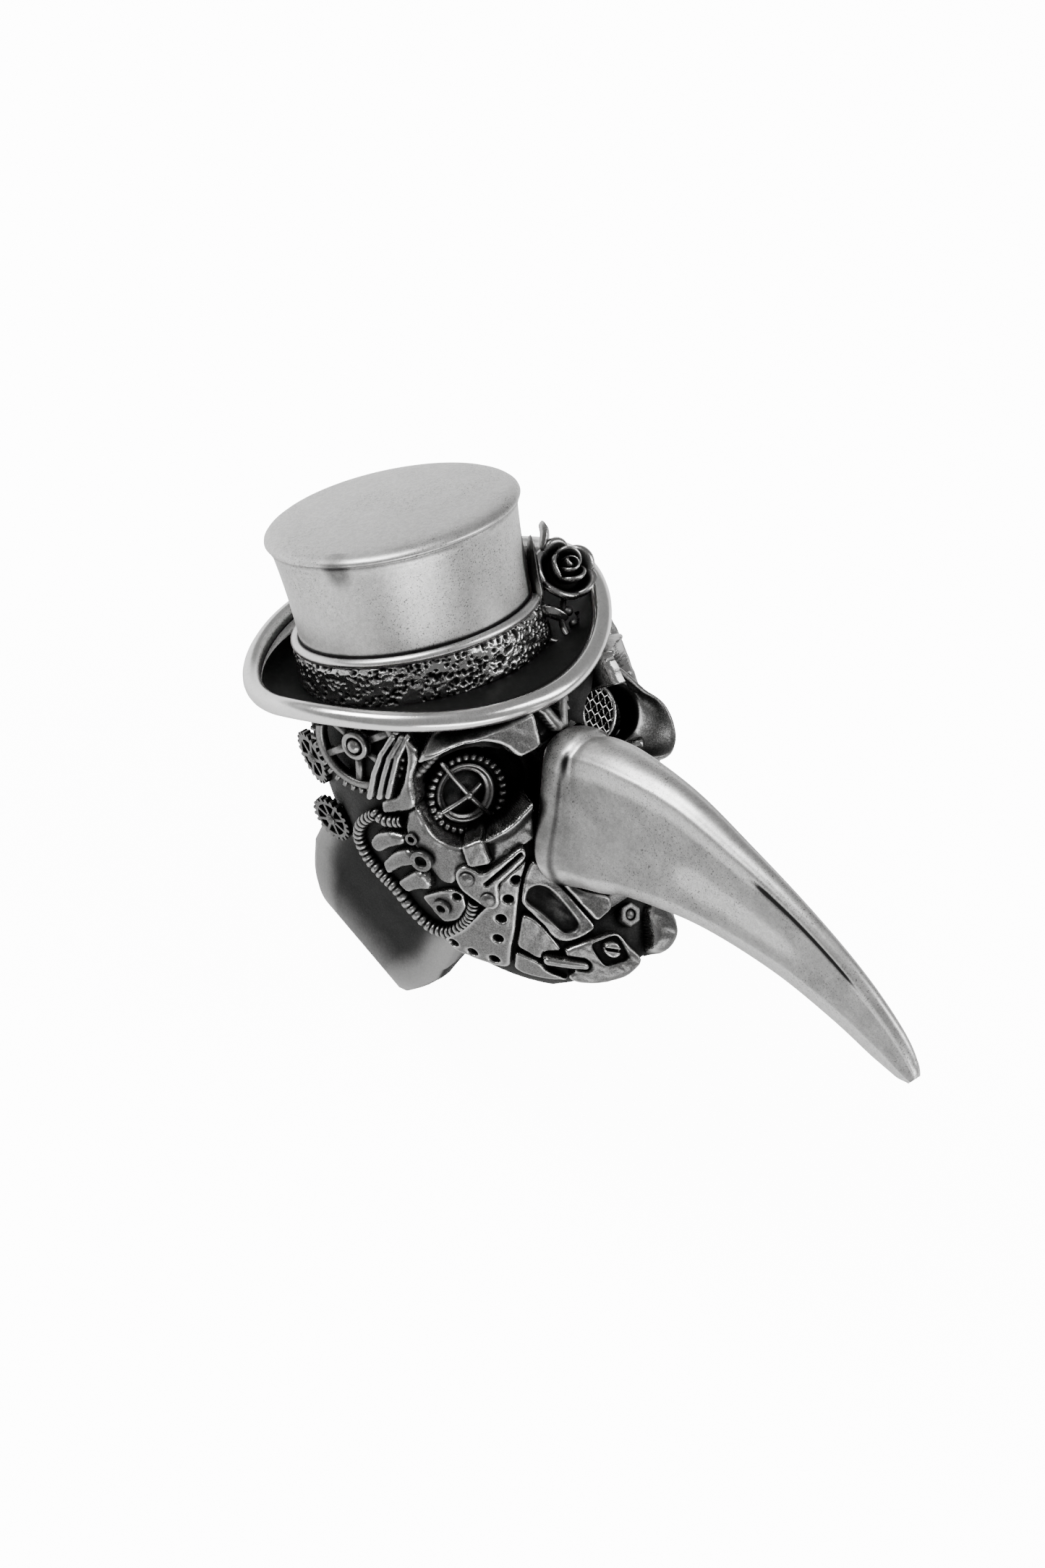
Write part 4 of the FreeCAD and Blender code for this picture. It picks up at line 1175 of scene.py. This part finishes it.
# ---- hat ------------------------------------------------------------------------------
# inset and drop from the crown's top corner: a thin groove, then the rounded lip
CROWN_LIP = ((0.25, 1.15), (0.3, 1.0), (0.28, 0.9), (0.06, 0.78), (0, 0.66), (0.04, 0.5), (0.2, 0.33),
             (0.5, 0.16), (1.1, 0.03))
CROWN_GROOVE = 1.0  # below the top
CROWN_TURNS = 220
DARK_PATCH_R = 9.4  # turns an angle into a distance along the wall
CROWN_WALL_R = 9.0  # the lid and the floor lie inside this radius
# Two dark patches on the crown's wall: the first is a painted dark reflection, the second is a darker patch.
# degrees round the crown, height, stretch, darkness, then where it starts and stops fading
CROWN_DARK_PATCHES = ((322, 6.6, 0.75, 0.95, 1.6, 3.3), (203, 12.0, 0.7, 0.78, 0.4, 2.8))


def crown_oxide_and_shade(radius, height, turn):
    """Darkening on the crown's wall: in its groove, at its foot above the band, and in two patches, of which
    the first is a painted dark reflection.
    """
    if radius <= CROWN_WALL_R:
        return 0.0
    marks = [0.5 if abs(height - (CROWN_HEIGHT - CROWN_GROOVE)) < 0.17 else 0.0]
    marks.append(0.9 * float(bell(height, BAND_HEIGHT + 0.75, 0.35)))
    for degrees, middle, stretch, dark, start, stop in CROWN_DARK_PATCHES:
        gap = math.hypot((turn - math.radians(degrees)) * DARK_PATCH_R, (height - middle) * stretch)
        marks.append(dark * (1 - float(ease(start, stop, gap))))
    return max(marks)


def crown_profile():
    """Side view of the crown: a slight flare, a lip at the top and a low domed lid."""
    top = CROWN_HEIGHT
    points = [(0, 0.6), (CROWN_BASE_R - 0.5, 0.6), (CROWN_BASE_R - 0.25, BAND_HEIGHT)]
    for step in range(25):
        height = BAND_HEIGHT + 0.4 + (top - 1.9 - BAND_HEIGHT) * step / 24
        share = (height - BAND_HEIGHT) / (top - BAND_HEIGHT)
        points.append((CROWN_BASE_R - 0.2 + (CROWN_TOP_R - CROWN_BASE_R) * share ** 2, height))
    points += [(CROWN_TOP_R - inset, top - drop) for inset, drop in CROWN_LIP]
    lid_r = points[-1][0]
    points += [(lid_r - k * 0.85, top + 0.5 * math.sin(k / 10 * math.pi / 2)) for k in range(1, 11)]
    return points + [(0, top + 0.52)]


def make_crown():
    profile = crown_profile()
    oxide_and_shade = [crown_oxide_and_shade(radius, height, turn) for radius, height in profile for turn in full_turn(CROWN_TURNS)]
    shape = lathe(Shape(), profile, Matrix(), CROWN_TURNS, CROWN_STRETCH, oxide_and_shade)
    shape.build("hat_crown", "polished_silver", HAT)


BAND_SEED = 5
BAND_FOOT = 0.42
PIT_DENSITY = 2.3


def pit_depth(turn, height):
    """Punched pits of uneven size, from the distance to the nearest of scattered points."""
    spot = Vector(spun(BAND_R, turn, height)) * PIT_DENSITY
    distances, _ = noise.voronoi(spot + 0.5 * noise.noise_vector(spot * 0.8))
    size = 0.46 + 0.2 * noise.noise(spot * 0.35)
    return 1 - float(ease(size - 0.2, size + 0.08, distances[0]))


def make_band():
    noise.seed_set(BAND_SEED)
    turns = 720
    rows = 44
    rings = []
    oxide_and_shade = []
    wear = []
    inner = CROWN_BASE_R - 0.4
    for row in range(rows + 1):
        height = BAND_FOOT + (BAND_HEIGHT - BAND_FOOT) * row / rows
        edge = min(row, rows - row) / rows
        ring = []
        for turn in full_turn(turns):
            depth = pit_depth(turn, height)
            lump = 0.06 * noise.noise(Vector((turn * 9, height * 1.7, 2.0)))
            radius = BAND_R - 0.05 - 0.2 * depth + lump - 0.12 * (1 - min(1, edge * 8))
            ring.append(spun(radius, turn, height, CROWN_STRETCH))
            oxide_and_shade.append(min(1.0, depth * 1.15))
            wear.append(1.0 - depth)
        rings.append(ring)
    for height in (BAND_HEIGHT, BAND_FOOT):
        rings.append([spun(inner, turn, height, CROWN_STRETCH) for turn in full_turn(turns)])
        oxide_and_shade += [0.8] * turns
        wear += [0.0] * turns
    shape = add_rings(Shape(), rings, Matrix(), False, True, oxide_and_shade, wear)
    shape.build("hat_band", place=HAT)


def make_cord():
    """The smooth cord above the band."""
    middle = CROWN_BASE_R + 0.12
    height = BAND_HEIGHT + 0.38
    profile = [(middle + 0.42 * math.cos(a), height + 0.4 * math.sin(a)) for a in full_turn(16)]
    rings = [[spun(r, turn, z, CROWN_STRETCH) for r, z in profile] for turn in full_turn(200)]
    shape = add_rings(Shape(), rings, Matrix(), False, True, 0.0, 0.35)
    shape.build("hat_band_wire", "polished_silver", HAT)


def brim_reach(turn):
    length = BRIM_BACK_REACH if math.sin(turn) > 0 else BRIM_FRONT_REACH
    return 1 / math.hypot(math.cos(turn) / BRIM_HALF_WIDTH, math.sin(turn) / length)


def brim_lift(turn):
    """Height of the rim: up at both sides and behind, down in front."""
    share = 0.5 + 0.5 * math.tanh(6 * math.cos(turn))
    side = BRIM_RIGHT_CURL + (BRIM_LEFT_CURL - BRIM_RIGHT_CURL) * share
    end = BRIM_BACK_LIFT if math.sin(turn) > 0 else -BRIM_FRONT_DIP
    return side * math.cos(turn) ** 2 + end * math.sin(turn) ** 2


def brim_profile(turn):
    """(radius, height, darkening, wear) round one section of the brim, from the root's top."""
    reach = brim_reach(turn)
    lift = brim_lift(turn)
    root = (BAND_R - 0.6) * math.hypot(math.cos(turn), CROWN_STRETCH * math.sin(turn))
    rim_r = reach - BRIM_RIM_R
    keys = ((root, 0), ((reach + root) / 2, lift * 0.3), (reach - 1.3, lift * 0.78))
    half = BRIM_PLATE / 2
    top = [through(keys, 2 * k / 10) for k in range(11)]
    points = [(r, z + half, 1.0, 0.0) for r, z in top[:-1]]
    for k in range(19):
        around = math.radians(160 - 320 * k / 18)
        radius = rim_r + 0.05 + BRIM_RIM_R * 0.95 * math.cos(around)
        oxide_and_shade = 0.7 if k == 0 else 0.0
        wear = 0.75 if 1 < k < 12 else 0.2
        points.append((radius, lift + BRIM_RIM_R * math.sin(around), oxide_and_shade, wear))
    points += [(r, z - half, 0.15, 0.0) for r, z in reversed(top[:-1])]
    return points


def make_brim():
    rings = []
    oxide_and_shade = []
    wear = []
    for turn in full_turn(240):
        profile = brim_profile(turn)
        rings.append([spun(r, turn, z) for r, z, _, _ in profile])
        oxide_and_shade += [mark for _, _, mark, _ in profile]
        wear += [mark for _, _, _, mark in profile]
    shape = add_rings(Shape(), rings, Matrix(), False, True, oxide_and_shade, wear)
    shape.build("hat_brim", "polished_silver", HAT)


# ---- rose -----------------------------------------------------------------------------
ROSE = HAT @ seat(at(10.6, 6.0, 4.4), at(0, 0.8, 0.6))
BLOOM_SCALE = 1.28
BLOOM = ROSE @ Matrix.Scale(BLOOM_SCALE, 4)
# the way, the width and the thickness of each leaf
LEAVES = (
    (((-1.1, 3.7, 0.7), (-2.2, 2.1, 1.1), (-3.2, 0.4, 1.3), (-3.8, -1.0, 1.2), (-4.3, -2.0, 0.8)),
     1.05, 0.42),
    (((-2.2, 3.3, -0.5), (-2.9, 2.5, -0.3), (-3.1, 1.6, -0.1)), 0.7, 0.32),
    (((0.9, 4.5, 0.0), (0.4, 3.4, 0.4), (-0.7, 2.3, 0.4)), 0.85, 0.42),
    (((0.75, 2.5, -0.2), (0.7, 1.9, 0.1), (0.05, 1.4, 0.3)), 0.5, 0.32),
    (((-4.1, -1.9, 0.5), (-3.4, -2.7, 0.9), (-2.4, -3.7, 0.5)), 1.3, 0.42),
)
LEAF_FOLD = 0.18
STEM = ((-0.4, -1.2, -0.8), (-1.8, -2.8, -0.7), (-2.65, -3.8, -0.3), (-2.9, -4.8, -0.2),
        (-3.1, -5.6, -0.2))
STEM_END = ((-3.1, -5.5, -0.2), (-3.9, -4.9, -0.2), (-4.5, -4.4, -0.2))


def petal_section(foot_r, lip_r, low, top, thick, curl):
    """(radius, height, darkening as oxide and painted shade) up the inner face, over the rolled lip and down
    the outer face.
    """
    middle = (low + top) / 2
    lean = lip_r - foot_r
    return ((foot_r, low, 1), (foot_r + 0.6 * lean, middle, 0.5), (lip_r, top - 0.1, 0.2),
            (lip_r + curl, top + 0.02, 0), (lip_r + curl + thick * 0.8, top - 0.12, 0),
            (lip_r + thick + curl * 0.6, top - 0.4, 0.2),
            (foot_r + thick + 0.45 * lean, middle - 0.1, 0.8), (foot_r + thick, low, 1))


def petal_wear(mark):
    if mark == 0:
        return 0.9
    return 0.45 if mark < 0.5 else 0.0


def petal(shape, radius, start, span, low, high, lean, thick=0.26, centre=0.0, grow=0.0, curl=0.25):
    """A curved wall with a rolled lip, seen from above as an arc."""
    steps = 26
    rings = []
    marks = []
    for step in range(steps + 1):
        t = step / steps
        turn = math.radians(start + span * t)
        end = math.sin(math.pi * min(max(t, 0.02), 0.98)) ** 0.35
        foot_r = radius + grow * t
        section = petal_section(foot_r, foot_r + lean * end, low, low + (high - low) * end, thick, curl * end)
        rings.append([(centre + r * math.cos(turn), centre + r * math.sin(turn), z) for r, z, _ in section])
        marks += [mark for _, _, mark in section]
    return add_rings(shape, rings, Matrix(), True, False, marks, [petal_wear(mark) for mark in marks])


def make_bloom():
    outer = Shape()
    for start, span in ((95, 100), (170, 110), (255, 95), (325, 85), (40, 75)):
        petal(outer, 1.15, start, span, -0.6, 0.75, 0.55)
    outer.build("rose_outer_petals", place=BLOOM)
    inner = Shape()
    for start, span, radius, high in ((200, 150, 0.76, 1.15), (330, 140, 0.72, 1.2), (80, 150, 0.68, 1.15)):
        petal(inner, radius, start, span, -0.4, high, 0.14, 0.2, 0.1, 0.12, 0.1)
    inner.build("rose_inner_petals", place=BLOOM)
    bud = Shape()
    petal(bud, 0.14, 20, 330, -0.4, 1.45, 0.02, 0.14, 0.15, 0.1, 0.03)
    petal(bud, 0.4, 150, 300, -0.4, 1.35, 0.04, 0.15, 0.12, 0.08, 0.04)
    lathe(bud, [(0, -1.1), (0.9, -1.1), (1.3, -0.5), (1.1, 0.1), (0, 0.2)], Matrix(), 32, 1.0, 1.0)
    bud.build("rose_bud", place=BLOOM)


def leaf(shape, points, width, thick):
    """A long leaf along a path, lens-shaped, with a raised rib down its middle."""
    section = ((-1, 0), (-0.55, 0.75), (-0.12, 0.95), (0, 1.25), (0.12, 0.95), (0.55, 0.75), (1, 0),
               (0.55, -0.6), (0, -0.75), (-0.55, -0.6))

    def outline(t):
        size = max(math.sin(math.pi * min(max(t, 0.02), 0.985)) ** 0.55, 0.12)
        return [(width / 2 * size * x, thick * size * y - LEAF_FOLD * x * x) for x, y in section]

    sweep(shape, smooth_path(points, 30), outline, UP, Matrix(), 0.0, 0.85)


def make_leaves():
    leaves = Shape()
    for points, width, thick in LEAVES:
        leaf(leaves, points, width, thick)
    leaves.build("rose_leaves", place=ROSE)
    stem = Shape()
    rod(stem, STEM, 0.28, Matrix())
    rod(stem, STEM_END, 0.2, Matrix())
    for point in ((-1.6, -3.0, -0.2), (-1.7, -4.1, -0.3)):
        ball(stem, 0.42, Vector(point), Matrix(), 0.1)
    stem.build("rose_stem", place=ROSE)


# ---- shank ----------------------------------------------------------------------------
SHANK_HALF = 7.8  # half width at the shoulders
SHANK_PALM_HALF = 3.5
SHANK_TAPER_FROM = 2.0
SHANK_CORNER = 0.55
SHANK_BEVEL = 0.75


def shank_section(half, length):
    """(width, height) shares round one section, from the bore to the rounded outside."""
    corner = SHANK_CORNER / half
    side = ((1, min(SHANK_CORNER / length, 0.4)), (1, 1 - SHANK_BEVEL / length),
            (1 - corner * 0.4, 1 - 0.25 / length), (1 - corner * 1.4, 1), (0.5, 1))
    left = [(-wide, height) for wide, height in reversed(side)]
    return [(-1 + corner, 0), (1 - corner, 0), *side, (0, 1), *left]


def shank_outside(turn, top_turn):
    """The outside: straight shoulders above, round below."""
    if math.sin(turn) <= 0:
        return Vector((SHANK_OUTER * math.cos(turn), SHANK_OUTER * math.sin(turn)))
    side = math.copysign(SHANK_OUTER, math.cos(turn))
    return Vector((side, SEAT_Z * math.asin(math.sin(turn)) / top_turn))


def make_shank():
    """The band round the finger, which narrows to the palm side."""
    top_turn = math.asin(SEAT_Z / BORE_R)
    rings = []
    oxide_and_shade = []
    wear = []
    steps = 150
    for step in range(steps + 1):
        turn = top_turn - (math.pi + 2 * top_turn) * step / steps
        inner = Vector((BORE_R * math.cos(turn), BORE_R * math.sin(turn)))
        outer = shank_outside(turn, top_turn)
        taper = min(max((SHANK_TAPER_FROM - outer.y) / (SHANK_TAPER_FROM + SHANK_OUTER), 0), 1)
        half = SHANK_HALF - (SHANK_HALF - SHANK_PALM_HALF) * taper
        ring = []
        for wide, height in shank_section(half, (outer - inner).length):
            point = inner + (outer - inner) * height
            worn = height > 0.75 and abs(wide) > 0.8
            ring.append((point.x, half * wide, point.y))
            wear.append(0.5 if worn else 0.0)
            # painted shade and oxide: darker towards the head, where the band runs under it; the worn outer
            # edges stay clean
            oxide_and_shade.append(0.0 if worn else 0.25 + 0.5 * float(ease(-3, 5, point.y)))
        rings.append(ring)
    shape = add_rings(Shape(), rings, oxide_and_shade=oxide_and_shade, wear=wear)
    shape.build("shank", "satin_silver", Matrix())


# ---- pieces that stay as the CAD made them --------------------------------------------
SOFT_EDGES = {"head_shell": 0.12, "chin_strap": 0.15, "chin_nut": 0.12}
NODE_EDGE = 0.07


def finish_nodes():
    """Give every CAD node its finish and cast-soft edges."""
    for part in frame["record"]["subparts"]:
        name = part["node"]
        node = frame["nodes"][name]
        node.data.materials.clear()
        node.data.materials.append(FINISHES[part["material_slot"]])
        weld = node.modifiers.new("weld", "WELD")
        weld.merge_threshold = 0.002 * MM
        bevel = node.modifiers.new("bevel", "BEVEL")
        bevel.width = SOFT_EDGES.get(name, NODE_EDGE) * MM
        bevel.segments = 2
        bevel.limit_method = "ANGLE"
        bevel.angle_limit = math.radians(35)


# ---- studio ---------------------------------------------------------------------------
CAMERA_RIGHT = Vector((0.732, -0.602, -0.319))
CAMERA_UP = Vector((0.469, 0.104, 0.878))
FRAME_HEIGHT = 123.9
FRAME_SHIFT = (6.43, -12.23)
LENS = 300
PAPER_GLOW = 12.0  # seen by the camera only, so that the paper stays white
LIGHT_AIM = Vector((0, -5, 18))
SENSOR = 36


def camera_matrix():
    right = CAMERA_RIGHT.normalized()
    up = (CAMERA_UP - right * CAMERA_UP.dot(right)).normalized()
    back = right.cross(up)
    distance = FRAME_HEIGHT * LENS / SENSOR
    place = right * FRAME_SHIFT[0] + up * FRAME_SHIFT[1] + back * distance
    local = Matrix((right, up, back)).transposed().to_4x4()
    local.translation = place
    world = FACE @ local
    world.translation *= MM
    return world


def make_camera():
    data = bpy.data.cameras.new("camera")
    data.lens = LENS
    data.sensor_width = SENSOR
    camera = bpy.data.objects.new("camera", data)
    bpy.context.scene.collection.objects.link(camera)
    camera.matrix_world = camera_matrix()
    bpy.context.scene.camera = camera
    return camera


def make_light(name, camera, across, high, near, size, power):
    """A soft box placed as the camera sees it: across, high and near, in metres."""
    data = bpy.data.lights.new(name, "AREA")
    data.shape = "RECTANGLE"
    data.size = size[0]
    data.size_y = size[1]
    data.energy = power
    light = bpy.data.objects.new(name, data)
    bpy.context.scene.collection.objects.link(light)
    turn = camera.matrix_world.to_3x3()
    offset = turn @ Vector((across, high, near))
    light.location = LIGHT_AIM * MM + offset
    light.rotation_euler = offset.to_track_quat("Z", "Y").to_euler()


def make_world():
    world = bpy.data.worlds.new("studio")
    world.use_nodes = True
    background = world.node_tree.nodes["Background"]
    background.inputs["Color"].default_value = (0.8, 0.8, 0.8, 1)
    background.inputs["Strength"].default_value = 0.45
    bpy.context.scene.world = world


def make_floor():
    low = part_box("shank")[0].z
    bpy.ops.mesh.primitive_plane_add(size=4, location=(0, 0, low - 0.1 * MM))
    floor = bpy.context.object
    floor.name = "floor"
    n = Nodes("paper")
    shade = n.mix(n.noise(30), (0.92, 0.92, 0.92, 1), (0.95, 0.95, 0.95, 1))
    paper = n.shader(shade, 0.8, 0.0)
    surface = next(node for node in n.tree.nodes if node.type == "BSDF_PRINCIPLED")
    surface.inputs["Emission Color"].default_value = (1, 1, 1, 1)
    seen = n.tree.nodes.new("ShaderNodeLightPath").outputs["Is Camera Ray"]
    n.link(n.times(seen, PAPER_GLOW), surface.inputs["Emission Strength"])
    floor.data.materials.append(paper)


finish_nodes()
make_orbit()
make_nose()
make_brow()
make_cheek()
make_jaw()
make_chin()
make_fasteners()
make_hose("breathing_hose", HOSE, 38, 0.34, 0.17, 0.35)
make_hose("elbow_hose", ELBOW, 6, 0.32, 0.16, 0.45)
make_cog()
make_cross()
make_socket_trim()
make_gauze()
make_gears()
make_beak()
make_crown()
make_band()
make_cord()
make_brim()
make_bloom()
make_leaves()
make_shank()

camera = make_camera()
make_world()
make_floor()
make_light("key", camera, -0.25, 0.35, 0.25, (0.25, 0.25), 4.0)
make_light("fill", camera, 0.35, 0.1, 0.2, (0.12, 0.4), 1.6)
make_light("rim", camera, 0.1, -0.3, 0.2, (0.3, 0.08), 0.9)
